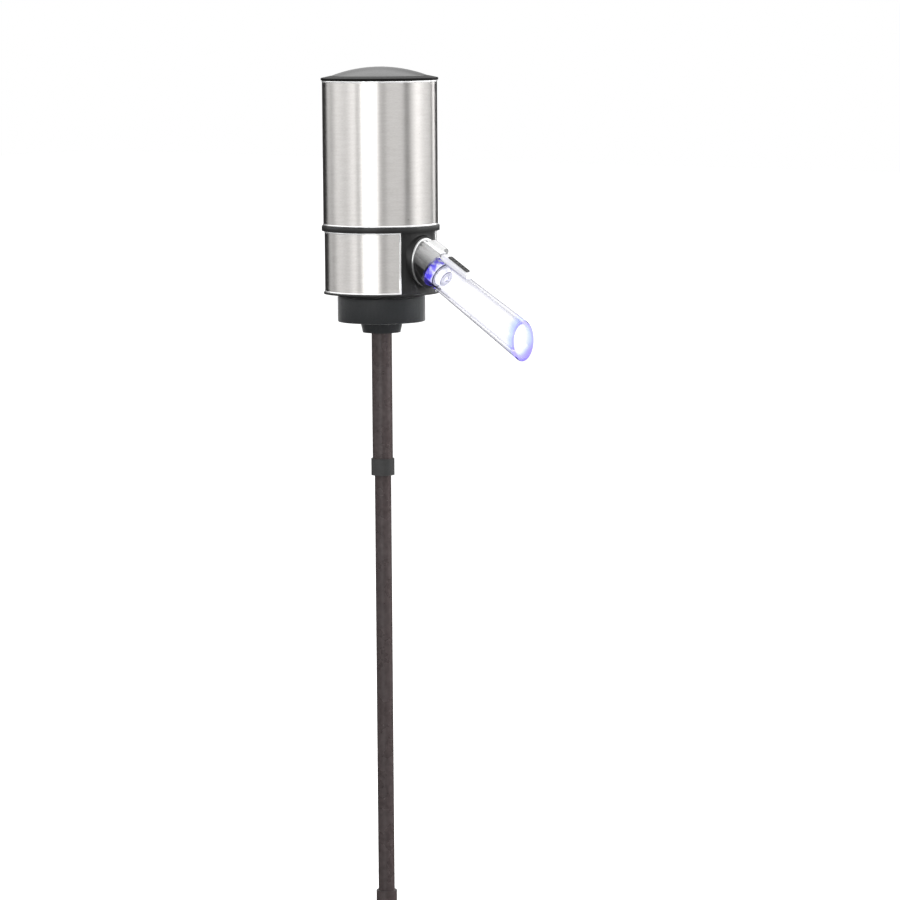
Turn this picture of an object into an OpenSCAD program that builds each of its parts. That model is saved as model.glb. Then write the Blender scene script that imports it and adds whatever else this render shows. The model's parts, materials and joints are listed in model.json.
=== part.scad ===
// Electric wine aerator and dispenser that plugs into a bottle's mouth.
// Millimetres. The origin is on the bottle's axis at its rim, +Z is up and +X points to the spout.

/* [Bottle fit] */
// Radius of the plug's land, a press fit in the bottle's mouth
plug_r = 9.3; // [8.9:0.1:9.6]
// Length of the plug's land below the rim
plug_land = 14; // [10:1:18]
// Length of the taper below the land
plug_lead = 5; // [3:1:8]
// Radius of the plug's lower end
plug_tip_r = 8.2; // [7.6:0.1:8.6]
// Thickness of the plug's flange inside the body
flange_t = 3; // [2.6:0.1:4]
// Radius of the collar's bore, around the bottle's lip
collar_bore_r = 15.6; // [15.2:0.1:15.8]
// Wall of the rubber collar
collar_wall = 3.35; // [2.8:0.05:4]
// Height of the collar below the neck band
collar_h = 10.9; // [8:0.1:14]
// Height of the neck band between the body and the collar
neck_band_h = 1.3; // [1:0.1:2]
// Wall of the collar's neck, inside the neck band
collar_neck_wall = 1.2; // [1:0.1:1.4]
// Thickness of the seal that the bottle's rim presses on
rim_seal_t = 1; // [0.8:0.1:1.2]
// Inner radius of the rim seal
rim_seal_in_r = 10; // [9.8:0.1:11]
// Outer radius of the rim seal
rim_seal_out_r = 14.8; // [14:0.1:15]

/* [Body] */
// Outside radius of the upper steel sleeve
sleeve_r = 24.75; // [24.5:0.05:26]
// Outside radius of the lower steel sleeve
lower_sleeve_r = 24.25; // [24:0.05:24.8]
// Sheet thickness of both steel sleeves
sleeve_t = 0.6; // [0.4:0.1:0.8]
// Half angle of the gap in the lower sleeve, centred on the spout
bay_half_angle = 29; // [27:1:34]
// Height of the lower body, from its underside to the seam ring
lower_h = 27.2; // [26.8:0.1:32]
// Height of the black seam ring
seam_h = 2.1; // [1.6:0.1:3]
// Radius of the seam ring
seam_r = 25.45; // [25.2:0.05:27]
// Height of the upper steel sleeve around cells of the standard length
upper_h = 62.9; // [62.5:0.1:70]
// Thickness of the lower body's floor
floor_t = 2; // [1.8:0.1:3]
// Wall of the lower body
lower_wall = 1.8; // [1.4:0.1:2]
// Radius of the lip under the lower sleeve
foot_lip_r = 24.85; // [24.6:0.05:26]
// Height of the lip under the lower sleeve
foot_lip_h = 0.6; // [0.5:0.1:1]
// Wall of the cap's inner barrel
cap_wall = 1.5; // [1.2:0.1:1.7]
// Height of the spigot that the cap slides over
spigot_h = 5; // [4:0.5:8]
// Wall of the spigot
spigot_wall = 2; // [1.8:0.1:2.1]
// Section radius of the O-rings under the cap and on the nozzle
o_ring_r = 0.6; // [0.5:0.05:0.7]

/* [Button] */
// Radius of the button
button_r = 20.8; // [18:0.1:21]
// Rise of the button's dome above the bezel
dome_h = 3.8; // [3:0.1:6]
// Travel of the button
button_travel = 1.5; // [1:0.1:1.6]
// Radius of the bezel ring
bezel_r = 25.3; // [24.8:0.05:27]
// Height of the bezel ring
bezel_h = 1.4; // [1:0.1:2.5]
// Radius of the button's stem
stem_r = 2.4; // [2.2:0.1:3]
// Thickness of the deck that guides the stem
deck_t = 1.6; // [1.2:0.1:2]
// Drop of the deck's top below the sleeve's top
deck_drop = 3.2; // [3:0.1:3.6]
// Radius of the guide boss on the deck
boss_r = 4.4; // [3.8:0.1:5.2]
// Height of the guide boss above the deck
boss_h = 2.8; // [2:0.1:3.2]
// Mean radius of the return spring
spring_r = 6.5; // [6.2:0.1:8]
// Wire radius of the return spring
spring_wire_r = 0.4; // [0.3:0.05:0.45]
// Turns of the return spring
spring_turns = 4; // [3:1:4]

/* [Spout] */
// Slope of the spout below the horizontal, in degrees
spout_slope = 30.5; // [28:0.5:33]
// Distance of the barrel ring's plane from the bottle's axis
ring_x = 24.4; // [24:0.1:25.5]
// Height of the barrel ring's centre above the rim
ring_z = 12.4; // [12:0.1:13]
// Outside radius of the chrome barrel
barrel_r = 8.5; // [8.2:0.1:9]
// Length of the barrel outside the ring
barrel_out = 7.5; // [5:0.5:9]
// Width of the ridge on top of the barrel
ridge_w = 5; // [4:0.2:6]
// Height of the ridge above the barrel
ridge_h = 2.8; // [2:0.1:3.4]
// Length of the barrel inside the body
barrel_in = 4.2; // [3.8:0.1:4.6]
// Wall of the barrel inside the body
barrel_neck_wall = 1; // [0.8:0.1:1.1]
// Radial width of the chrome ring at the barrel's root
ring_w = 0.5; // [0.4:0.1:1]
// Thickness of the chrome ring
ring_t = 0.7; // [0.5:0.1:1.2]
// Bore radius of the clear tube
tube_bore_r = 5.5; // [5.4:0.05:5.7]
// Wall of the clear tube
tube_wall = 1.4; // [1.2:0.05:1.5]
// Length of the tube from the ring's centre to the mouth's centre
tube_len = 62; // [50:1:80]
// Radius that the tube's outside gains at its mouth
tube_flare = 1.3; // [0.5:0.1:1.6]
// Radius that the tube's bore gains at its mouth
bore_flare = 0.5; // [0:0.1:0.8]
// Radius of the tube's cone where it meets the barrel
cuff_r = 7.2; // [7:0.1:8.4]
// Length of the tube's cone
cuff_len = 4; // [3:0.5:8]
// Width of the clear rib on top of the tube
rib_w = 3.8; // [3.4:0.2:5]
// Height of the rib above the tube
rib_h = 2.6; // [1.8:0.1:3]
// Length of the air intake in the rib
intake_len = 11.5; // [9:0.5:14]
// Width of the air intake
intake_w = 2.2; // [2:0.1:2.6]
// Height of the air intake above the rib
intake_h = 0.65; // [0.3:0.05:1]

/* [Dip tube] */
// Depth of the inlet below the rim, drawn out
dip_depth = 275; // [240:1:300]
// Depth of the outer tube's end below the rim
outer_tube_depth = 80; // [75:1:110]
// Outside radius of the outer tube
outer_tube_r = 4.4; // [4.2:0.1:4.8]
// Wall of the outer tube
outer_tube_wall = 0.5; // [0.4:0.05:0.7]
// Step between the inner tube and its guide bead
bead_step = 0.25; // [0.2:0.05:0.4]
// Length of the guide bead
bead_len = 8; // [6:1:12]
// Wall of the inner tube
inner_tube_wall = 0.9; // [0.7:0.05:1.2]
// Height of the inlet foot
foot_h = 10; // [8:1:14]

/* [Pump and motor] */
// Module of the pump gears
gear_module = 0.8; // [0.78:0.01:0.82]
// Teeth of each pump gear
gear_teeth = 12; // [12:1:12]
// Width of the pump gears
gear_w = 6; // [5.5:0.1:6.2]
// Wall around the gear pockets
pump_wall = 4; // [3.8:0.1:4.4]
// Floor under the gear pockets
pump_floor = 1.7; // [1.6:0.1:2]
// Thickness of the pump gasket
gasket_t = 0.5; // [0.3:0.1:0.8]
// Thickness of the pump cover
cover_t = 3; // [2.6:0.1:3.2]
// Radius of the motor's can
motor_r = 11.5; // [10.5:0.1:11.8]
// Sheet thickness of the motor's can
can_t = 0.9; // [0.7:0.1:1.1]
// Radius of the motor's shaft and the driven axle
shaft_r = 1; // [0.9:0.05:1.1]
// Height left above the motor for its leads
lead_room = 2.3; // [2.1:0.1:3]

/* [Batteries] */
// Radius of a cell
cell_r = 5.25; // [5.1:0.05:5.25]
// Length of a cell with its nub
cell_len = 44.5; // [44:0.1:44.6]
// Pitch radius of the six cells
cell_pitch_r = 15; // [14.6:0.1:15]
// Radius of the chassis column
column_r = 5; // [4:0.1:6]
// Thickness of the chassis plates
plate_t = 1.6; // [1.4:0.1:1.7]
// Length of a pressed contact spring
contact_h = 2.2; // [2.1:0.1:2.3]
// Sheet thickness of the contact plates
contact_t = 0.3; // [0.2:0.05:0.4]

/* [Clearances] */
// Gap between pieces that are fixed to each other
fit = 0.05; // [0.03:0.01:0.07]
// Gap between pieces that slide or turn on each other
slip = 0.08; // [0.05:0.01:0.1]
// Gap around moving pieces that nothing guides
free = 0.3; // [0.25:0.05:0.4]

/* [Hidden] */
$fn = 96;

// Overlap of tool bodies past the faces that they cut
cut = 1;
// Reach of drills along and across the spout
reach = 20;
// Size of the blocks that cut on a plane
far = 200;

// Levels, from the rim of the bottle
body_z0 = -floor_t;
seam_z0 = body_z0 + lower_h;
seam_z1 = seam_z0 + seam_h;
standard_cell_len = 44.5;
sleeve_top = seam_z1 + upper_h + cell_len - standard_cell_len;
bezel_top = sleeve_top + bezel_h;
collar_top = body_z0 - neck_band_h;
collar_bottom = collar_top - collar_h;
cap_z0 = seam_z1 + 2 * fit;

// Radii of the body's nested shells
lower_out_r = lower_sleeve_r - sleeve_t - fit;
lower_in_r = lower_out_r - lower_wall;
cap_out_r = sleeve_r - sleeve_t - fit;
cap_in_r = cap_out_r - cap_wall;
spigot_r = cap_in_r - slip;
spigot_in_r = spigot_r - spigot_wall;
flange_r = spigot_in_r - 2 * fit;

// Collar: its neck passes the floor and its lip is held under the plug's flange
collar_r = collar_bore_r + collar_wall;
neck_r = collar_bore_r + collar_neck_wall;
collar_lip_w = 0.8;
collar_lip_t = 0.9;
band_recess = 0.45;

// Dip tube
tube_seat_z = 1;
outer_bore_r = outer_tube_r - outer_tube_wall;
bead_r = outer_bore_r - slip;
inner_tube_r = bead_r - bead_step;
inner_bore_r = inner_tube_r - inner_tube_wall;
seal_wall = 0.6;
seal_grip = 6;
seal_lip_t = 1.2;
foot_wall = 0.9;
foot_r = inner_tube_r + fit + foot_wall;
foot_lip_t = 3;
foot_notch_w = 2.4;
foot_notch_h = 2.2;

// Gear pump, with its gears in a line along Y
pressure_angle = 25;
backlash = 0.16;
pitch_r = gear_module * gear_teeth / 2;
addendum = 0.85;
dedendum = 1.15;
gear_tip_r = pitch_r + addendum * gear_module;
gear_root_r = pitch_r - dedendum * gear_module;
gear_base_r = pitch_r * cos(pressure_angle);
pocket_r = gear_tip_r + slip;
pump_end_r = pocket_r + pump_wall;
pump_z0 = flange_t + gasket_t;
pocket_z0 = pump_z0 + pump_floor;
gear_z0 = pocket_z0 + slip;
pump_z1 = gear_z0 + gear_w + slip;
cover_z1 = pump_z1 + cover_t;
chamber_wall = 1.6;
chamber_x = pump_end_r - chamber_wall;
chamber_w = 4;
inlet_hole_r = 1.8;
inlet_x = chamber_x - inlet_hole_r;
channel_w = 4;
channel_d = 1.4;
tube_stop_w = 0.9;
riser_bore_r = outer_bore_r - tube_stop_w;
bush_wall = 1.2;
bush_r = shaft_r + slip + bush_wall;
bush_t = 1.2;
seal_r = 3.2;
seal_t = 1.5;
axle_seat = 1.2;
pump_screw_r = 0.95;
pump_screw_head_r = 1.8;
pump_screw_head_t = 1.2;
pump_head_z0 = cover_z1 - pump_screw_head_t - 2 * fit;
pump_screw_offset = (pocket_r + pump_end_r) / 2 * cos(45);
pump_screw_bite = 2;
pump_screw_z0 = flange_t - pump_screw_bite;
pump_screws_at = [for (sx = [-1, 1], sy = [-1, 1])
    [sx * pump_screw_offset, sy * (pitch_r + pump_screw_offset)]];

// Screws through the plug's flange into the floor
flange_screw_r = 0.85;
flange_screw_head_r = 1.5;
flange_screw_head_t = 1.2;
flange_screw_bite = 1.5;
flange_screw_pitch_r = (neck_r + collar_lip_w + flange_r) / 2;
flange_screw_angles = [30, 150, 270];

// Motor, above the pump on the drive gear's axis
chassis_lift = 0.2;
chassis_z0 = seam_z1 + chassis_lift;
motor_z0 = cover_z1;
motor_z1 = chassis_z0 - lead_room;
end_cap_t = 1.3;
can_z1 = motor_z1 - end_cap_t;
can_in_r = motor_r - can_t;
magnet_t = 2.2;
magnet_angle = 150;
magnet_r = can_in_r - fit;
rotor_gap = 0.5;
rotor_r = magnet_r - magnet_t - rotor_gap;
rotor_slot_w = 1.6;
rotor_end_gap = 0.6;
rotor_hub_wall = 1;
commutator_r = 2.6;

// Posts in the lower body that carry the battery chassis
post_r = 2.4;
post_pitch_r = 18;
post_z0 = 14;
post_rib_w = 2.4;
post_angles = [90, 210, 330];
chassis_screw_r = 0.95;
chassis_screw_head_r = 1.7;
chassis_screw_head_t = 1.3;
chassis_screw_bite = 7;

// Battery chassis and what it carries
chassis_r = spigot_in_r - 2 * fit;
cells_z0 = chassis_z0 + plate_t;
cells_z1 = cells_z0 + 2 * contact_t + contact_h + cell_len;
chassis_z1 = cells_z1 + plate_t;
web_t = 1.6;
web_gap = 0.3;
lead_bore_r = 2.6;
lead_r = 0.45;
lead_offset = [1.2, 1];
nub_r = 1.9;
nub_h = 0.9;
contact_pad_r = 4.2;
contact_bar_w = 4;
contact_wire_r = 0.3;
contact_turns = 2;
contact_big_r = 3.6;
contact_small_r = 1.8;
cell_angles = [for (i = [0:5]) 60 * i];

// Switch board, switch and its plunger
board_r = 17;
board_t = 1.2;
board_z1 = chassis_z1 + board_t;
switch_w = 6.2;
switch_h = 2.6;
switch_z1 = board_z1 + switch_h;
plunger_r = 1.75;
plunger_spare = 0.25;
plunger_guide = 0.9;
plunger_top = switch_z1 + button_travel + plunger_spare;
plunger_z0 = switch_z1 - plunger_guide;
plunger_well_z0 = plunger_z0 - button_travel - plunger_spare;
stem_gap = 0.1;
board_screw_x = 12;
board_screw_r = 0.9;
board_screw_head_r = 1.7;
board_screw_head_t = 1.1;

// Cap, button and return spring
deck_z1 = sleeve_top - deck_drop;
deck_z0 = deck_z1 - deck_t;
bezel_skirt_h = 1.6;
skirt_spare = 0.4;
button_z0 = deck_z1 + button_travel + skirt_spare;
button_wall = 2.2;
dome_roof = 2.2;
dome_apex = bezel_top + dome_h;
dome_sphere_r = (button_r * button_r + dome_h * dome_h) / (2 * dome_h);
roof_drop = 0.6;
roof_z = bezel_top - roof_drop;
recess_gap = 2.3;
recess_r = spring_r + spring_wire_r + recess_gap;
recess_z1 = dome_apex - dome_roof;
clip_t = 0.7;
clip_r = 4.2;
clip_groove_d = 0.5;
clip_groove_r = stem_r - clip_groove_d;
clip_z1 = deck_z0 - fit;
clip_z0 = clip_z1 - clip_t;
stem_z0 = plunger_top + stem_gap;

// Spout: distances along its axis from the ring's centre, positive towards the mouth
barrel_bore_r = tube_bore_r + tube_wall + slip;
barrel_neck_r = barrel_bore_r + barrel_neck_wall;
boss_rim = 0.4;
barrel_boss_r = barrel_r + ring_w + boss_rim;
boss_step = 1.2;
barrel_boss_in = barrel_in - boss_step;
shank_r = tube_bore_r + tube_wall;
led_board_t = 1;
led_h = 0.7;
led_w = 1.2;
led_angles = [0, 90, 180, 270];
nozzle_inset = 0.2;
nozzle_flange_s0 = nozzle_inset - barrel_in;
nozzle_flange_t = 1.6;
led_board_s0 = nozzle_flange_s0 + nozzle_flange_t;
led_s0 = led_board_s0 + led_board_t;
tube_s0 = led_s0 + led_h + free;
nozzle_land_r = tube_bore_r - free;
nozzle_land_out = 3.75;
nozzle_land_s1 = barrel_out + nozzle_land_out;
nozzle_neck_r = 4.2;
nozzle_neck_len = 0.8;
nozzle_neck_s1 = nozzle_land_s1 + nozzle_neck_len;
nozzle_tip_r = 3.4;
nozzle_tip_len = 2;
nozzle_tip_s1 = nozzle_neck_s1 + nozzle_tip_len;
nozzle_bore_r = 1.3;
tail_r = 2.3;
tail_reach = 7.8;
tail_end = 1.9;
riser_s = -barrel_in - tail_reach;
riser_x = ring_x + riser_s * cos(spout_slope);
riser_z = ring_z - riser_s * sin(spout_slope);
spout_o_ring_s = 3;
o_ring_gap = 0.03;
spout_o_centre_r = tube_bore_r - o_ring_gap - o_ring_r;
mouth_x = ring_x + tube_len * cos(spout_slope);
tube_step = 0.55;
tube_r = shank_r - tube_step;
cuff_gap = 0.2;
cuff_s0 = barrel_out + cuff_gap;
cuff_s1 = cuff_s0 + cuff_len;
tube_s1 = tube_len + (tube_r + tube_flare) * tan(spout_slope) + 2 * cut;
rib_gap = 0.1;
rib_s0 = cuff_s0 + rib_gap;
rib_top = tube_r + rib_h;
rib_edge = 0.5;
rib_tail = 0.4;
rib_slope = 1.4;
intake_gap = 3.1;
intake_s0 = rib_s0 + intake_gap;
rib_s1 = intake_s0 + intake_len + rib_tail + rib_slope;
intake_seat = 0.5;
intake_slot_w = 0.7;
intake_rim = 0.45;
intake_slots = 5;
ridge_top = barrel_r + ridge_h;
ridge_clear = 0.6;
ridge_ramp = 4;
ridge_s0 = (ring_t + ridge_clear - barrel_r * sin(spout_slope)) / cos(spout_slope);
air_hole_r = 0.8;
led_lead_x = 1.2;
lead_play = 0.15;
lead_hole_r = lead_r + lead_play;
lead_y = nozzle_land_r + lead_hole_r + fit;

// Outlet from the pump, up to the nozzle's tail
duct_r = 1;
barb_r = 1.45;
barb_bore_r = 0.9;
barb_len = 2.4;
barb_gap = 0.2;
ear_w = 4.4;
duct_lift = 0.4;
duct_z = pocket_z0 + duct_r + duct_lift;
riser_boss_r = 2.4;
duct_roof = 0.6;
riser_boss_z1 = duct_z + duct_r + duct_roof;
hose_r = 2.2;
hose_z1 = riser_z - hose_r * tan(spout_slope) - tail_r / cos(spout_slope) - barb_gap;
nozzle_barb_z0 = riser_boss_z1 + barb_len + barb_gap;

// Cap's O-ring on the spigot
cap_o_z = seam_z1 + spigot_h / 2;
cap_o_centre_r = cap_in_r - o_ring_gap - o_ring_r;
o_groove_side = 0.05;

// Places a child on the spout's axis at distance s, with its +Z along the flow and its -X upwards
module on_spout(s) {
    translate([ring_x, 0, ring_z]) rotate([0, 90 + spout_slope, 0]) translate([0, 0, s]) children();
}

// A point of the spout's own frame, in the part's frame
function spout_point(x, y, s) = [
    ring_x - x * sin(spout_slope) + s * cos(spout_slope),
    y,
    ring_z - x * cos(spout_slope) - s * sin(spout_slope)
];

// A plain round pipe standing between two levels
module pipe(outer_r, inner_r, z0, z1) {
    difference() {
        translate([0, 0, z0]) cylinder(r = outer_r, h = z1 - z0);
        translate([0, 0, z0 - cut]) cylinder(r = inner_r, h = z1 - z0 + 2 * cut);
    }
}

// A round bar standing between two levels
module bar(r, z0, z1) {
    translate([0, 0, z0]) cylinder(r = r, h = z1 - z0);
}

// A pan-head screw pointing down, with its head's underside at the origin
module pan_screw(shank_r, shank_len, head_r, head_t) {
    slot_w = 0.5;
    difference() {
        union() {
            cylinder(r = head_r, h = head_t);
            translate([0, 0, -shank_len]) cylinder(r = shank_r, h = shank_len + head_t / 2);
        }
        for (a = [0, 90])
            rotate(a) translate([-head_r * 0.6, -slot_w / 2, head_t / 2])
                cube([head_r * 1.2, slot_w, head_t]);
    }
}

// The pump's outline, a slab with two round ends along Y
module pump_slab(z0, z1) {
    for (side = [-1, 1])
        translate([0, side * pitch_r, z0]) cylinder(r = pump_end_r, h = z1 - z0);
    translate([-pump_end_r, -pitch_r, z0]) cube([2 * pump_end_r, 2 * pitch_r, z1 - z0]);
}

// Angle of an involute flank from its tooth's middle, at radius r
function involute(angle) = tan(angle) - angle * PI / 180;
function flank_angle(r) =
    let (at = acos(min(1, gear_base_r / max(r, gear_base_r))))
    90 / gear_teeth - backlash / 2 / pitch_r * 180 / PI
        + (involute(pressure_angle) - involute(at)) * 180 / PI;

// Outline of a pump gear with a tooth pointing along +X
flank_steps = 3;
flank_radii = concat([gear_root_r], [for (i = [0:flank_steps])
    gear_base_r + (gear_tip_r - gear_base_r) * i / flank_steps]);
function tooth_points(turn) = concat(
    [for (r = flank_radii) r * [cos(turn - flank_angle(r)), sin(turn - flank_angle(r))]],
    [for (i = [len(flank_radii) - 1:-1:0])
        let (r = flank_radii[i]) r * [cos(turn + flank_angle(r)), sin(turn + flank_angle(r))]]
);
gear_outline = [for (i = [0:gear_teeth - 1]) each tooth_points(360 * i / gear_teeth)];

module pump_gear(bore_r, turn) {
    difference() {
        translate([0, 0, gear_z0]) rotate(turn) linear_extrude(gear_w) polygon(gear_outline);
        bar(bore_r, gear_z0 - cut, gear_z0 + gear_w + cut);
    }
}

// Round tube along a list of points, with flat ends
function unit(v) = v / norm(v);
function tangent(path, i) = unit(path[min(i + 1, len(path) - 1)] - path[max(i - 1, 0)]);
function ring_points(centre, along, up, r, sides) =
    let (u = unit(up - along * (up * along)), v = cross(along, u))
    [for (j = [0:sides - 1]) centre + r * (cos(360 * j / sides) * u + sin(360 * j / sides) * v)];
function wall_faces(i, j, sides) =
    let (a = i * sides + j, b = i * sides + (j + 1) % sides)
    [[a, a + sides, b], [b, a + sides, b + sides]];
function tube_faces(rings, sides) = concat(
    [for (i = [0:rings - 2], j = [0:sides - 1]) each wall_faces(i, j, sides)],
    [for (j = [1:sides - 2]) [0, j, j + 1]],
    [for (j = [1:sides - 2]) let (last = (rings - 1) * sides) [last, last + j + 1, last + j]]
);
module wire(path, r, sides, up) {
    points = [for (i = [0:len(path) - 1]) each ring_points(path[i], tangent(path, i), up, r, sides)];
    polyhedron(points, tube_faces(len(path), sides));
}

// Points of a helix that climbs from z0 to z1 and may close in from r0 to r1
rings_per_turn = 8;
function helix(r0, r1, z0, z1, turns) = [for (i = [0:turns * rings_per_turn])
    let (share = i / (turns * rings_per_turn), r = r0 + (r1 - r0) * share, a = 360 * turns * share)
    [r * cos(a), r * sin(a), z0 + (z1 - z0) * share]];
function least_gap(path, r) = min([for (i = [0:len(path) - 1], j = [0:len(path) - 1])
    if (j - i > rings_per_turn / 2) norm(path[j] - path[i]) - 2 * r]);

spring_path = helix(spring_r, spring_r, deck_z1 + fit + spring_wire_r, recess_z1 - fit - spring_wire_r,
    spring_turns);
contact_path = helix(contact_big_r, contact_small_r, contact_wire_r + fit,
    contact_h - contact_wire_r - fit, contact_turns);
echo(button_spring_gap = least_gap(spring_path, spring_wire_r));
echo(contact_spring_gap = least_gap(contact_path, contact_wire_r));

// Bottle fittings

module bottle_collar() color("#3a3b3f") {
    pipe(collar_r, collar_bore_r, collar_bottom, collar_top);
    pipe(neck_r, collar_bore_r, collar_top, -collar_lip_t);
    pipe(neck_r + collar_lip_w, collar_bore_r, -collar_lip_t, -fit);
}

module rim_seal() color("#6d6f73")
    pipe(rim_seal_out_r, rim_seal_in_r, 0, rim_seal_t - fit);

module stopper_plug() color("#2a2b2e")
    difference() {
        union() {
            bar(flange_r, 0, flange_t);
            bar(plug_r, -plug_land, cut);
            translate([0, 0, -plug_land - plug_lead])
                cylinder(r1 = plug_tip_r, r2 = plug_r, h = plug_lead);
        }
        bar(outer_tube_r + fit, -plug_land - plug_lead - cut, tube_seat_z);
        bar(riser_bore_r, 0, flange_t - channel_d + cut / 2);
        translate([-inlet_x - channel_w / 2, -channel_w / 2, flange_t - channel_d])
            cube([inlet_x + channel_w / 2 + riser_bore_r, channel_w, channel_d + cut]);
        pipe(rim_seal_out_r + fit, rim_seal_in_r - fit, -cut, rim_seal_t);
        for (a = post_angles)
            rotate(a) translate([post_pitch_r, 0, 0]) bar(post_r + free, -cut, flange_t + cut);
        for (a = flange_screw_angles)
            rotate(a) translate([flange_screw_pitch_r, 0, 0])
                bar(flange_screw_r + fit, -cut, flange_t + cut);
        for (p = pump_screws_at)
            translate([p[0], p[1], 0]) bar(pump_screw_r + fit, pump_screw_z0 - fit, flange_t + cut);
    }

// Dip tube

module dip_tube_outer() color("#3b3336")
    pipe(outer_tube_r, outer_bore_r, -outer_tube_depth, tube_seat_z);

module tube_seal() color("#202124") {
    seal_out_r = outer_tube_r + fit + seal_wall;
    pipe(seal_out_r, outer_tube_r + fit, -outer_tube_depth, seal_grip - outer_tube_depth);
    pipe(seal_out_r, inner_tube_r + slip, -outer_tube_depth - seal_lip_t, -outer_tube_depth);
}

module dip_tube_inner() color("#463c3f")
    difference() {
        union() {
            bar(inner_tube_r, foot_lip_t - dip_depth, fit - outer_tube_depth + cut);
            bar(bead_r, fit - outer_tube_depth, fit - outer_tube_depth + bead_len);
        }
        bar(inner_bore_r, -dip_depth, 0);
    }

module inlet_foot() color("#202124")
    difference() {
        union() {
            pipe(foot_r, inner_tube_r + fit, foot_lip_t - dip_depth, foot_h - dip_depth);
            pipe(foot_r, inner_bore_r, -dip_depth, foot_lip_t - dip_depth);
        }
        for (a = [0, 90])
            rotate(a) translate([-far / 2, -foot_notch_w / 2, -dip_depth - cut])
                cube([far, foot_notch_w, foot_notch_h + cut]);
    }

// Lower body

module chassis_posts()
    for (a = post_angles)
        rotate(a) {
            translate([post_pitch_r, 0, 0]) bar(post_r, post_z0, chassis_z0);
            translate([post_pitch_r, -post_rib_w / 2, post_z0])
                cube([lower_in_r - post_pitch_r + lower_wall / 4, post_rib_w, chassis_z0 - post_z0]);
        }

// The boss around the barrel: short inside the shell, and from the wall to the ring outside it
module barrel_boss()
    intersection() {
        union() {
            on_spout(-barrel_boss_in) cylinder(r = barrel_boss_r, h = 2 * barrel_in + barrel_out);
            difference() {
                on_spout(-reach) cylinder(r = barrel_boss_r, h = 2 * reach);
                bar(lower_in_r + lower_wall / 4, -far, far);
            }
        }
        translate([0, -far / 2, -far / 2]) cube([ring_x, far, far]);
    }

module body_shell()
    difference() {
        union() {
            bar(collar_r - band_recess, collar_top, body_z0 + cut);
            bar(foot_lip_r, body_z0, body_z0 + foot_lip_h);
            bar(lower_out_r, body_z0, seam_z0 + cut);
            bar(seam_r, seam_z0, seam_z1);
            bar(spigot_r, seam_z1 - cut, seam_z1 + spigot_h);
        }
        bar(lower_in_r, 0, seam_z0);
        bar(spigot_in_r, seam_z0 - cut, seam_z1 + spigot_h + cut);
        bar(neck_r + fit, collar_top - cut, cut);
        bar(neck_r + collar_lip_w + fit, -collar_lip_t, cut);
        pipe(spigot_r + cut, cap_o_centre_r - o_ring_r - o_groove_side, cap_o_z - o_ring_r - o_groove_side,
            cap_o_z + o_ring_r + o_groove_side);
    }

module lower_body() color("#1b1b1e")
    difference() {
        union() {
            body_shell();
            chassis_posts();
            barrel_boss();
        }
        on_spout(-barrel_in - reach) cylinder(r = barrel_neck_r + fit, h = 2.5 * reach);
        for (a = post_angles)
            rotate(a) translate([post_pitch_r, 0, 0])
                bar(chassis_screw_r + fit, chassis_z0 - chassis_screw_bite - fit, chassis_z0 + cut);
        for (a = flange_screw_angles)
            rotate(a) translate([flange_screw_pitch_r, 0, 0])
                bar(flange_screw_r + fit, -flange_screw_bite - fit, cut);
    }

module lower_sleeve() color("#c9c8c6")
    translate([0, 0, body_z0 + foot_lip_h])
        rotate(bay_half_angle) rotate_extrude(angle = 360 - 2 * bay_half_angle)
            translate([lower_sleeve_r - sleeve_t, 0]) square([sleeve_t, seam_z0 - body_z0 - foot_lip_h]);

module flange_screws() color("#9a9a9c")
    for (a = flange_screw_angles)
        rotate(a) translate([flange_screw_pitch_r, 0, flange_t])
            pan_screw(flange_screw_r, flange_t + flange_screw_bite, flange_screw_head_r,
                flange_screw_head_t);

// Spout

module barrel_ring() color("#d9dadd")
    intersection() {
        on_spout(-reach) pipe(barrel_r + ring_w, barrel_r + fit, 0, 2 * reach);
        translate([ring_x, -far / 2, -far / 2]) cube([ring_t, far, far]);
    }

// A bar on top of the spout whose side view is a polygon of [height from the axis, distance along it]
module on_top(side_view)
    on_spout(0) translate([0, far / 2, 0]) rotate([90, 0, 0])
        linear_extrude(far) polygon([for (p = side_view) [-p[0], p[1]]]);

// The ridge that stiffens the top of the barrel, with a ramp at the ring
module barrel_ridge()
    intersection() {
        on_spout(ridge_s0) {
            translate([-ridge_top + ridge_w / 2, 0, 0]) cylinder(r = ridge_w / 2, h = barrel_out - ridge_s0);
            translate([-ridge_top + ridge_w / 2, -ridge_w / 2, 0])
                cube([ridge_top - ridge_w / 2 - barrel_bore_r, ridge_w, barrel_out - ridge_s0]);
        }
        on_top([
            [barrel_bore_r - barrel_neck_wall, ridge_s0], [barrel_r, ridge_s0], [ridge_top, ridge_s0 + ridge_ramp],
            [ridge_top, barrel_out], [barrel_bore_r - barrel_neck_wall, barrel_out]
        ]);
    }

module spout_barrel() color("#e2e3e6")
    difference() {
        union() {
            barrel_ridge();
            on_spout(-barrel_in) cylinder(r = barrel_neck_r, h = barrel_in + barrel_out - cut);
            intersection() {
                on_spout(-2 * barrel_r) cylinder(r = barrel_r, h = 2 * barrel_r + barrel_out);
                translate([ring_x, -far / 2, -far / 2]) cube(far);
            }
        }
        on_spout(-barrel_in - cut) cylinder(r = barrel_bore_r, h = barrel_in + barrel_out + 2 * cut);
    }

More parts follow.
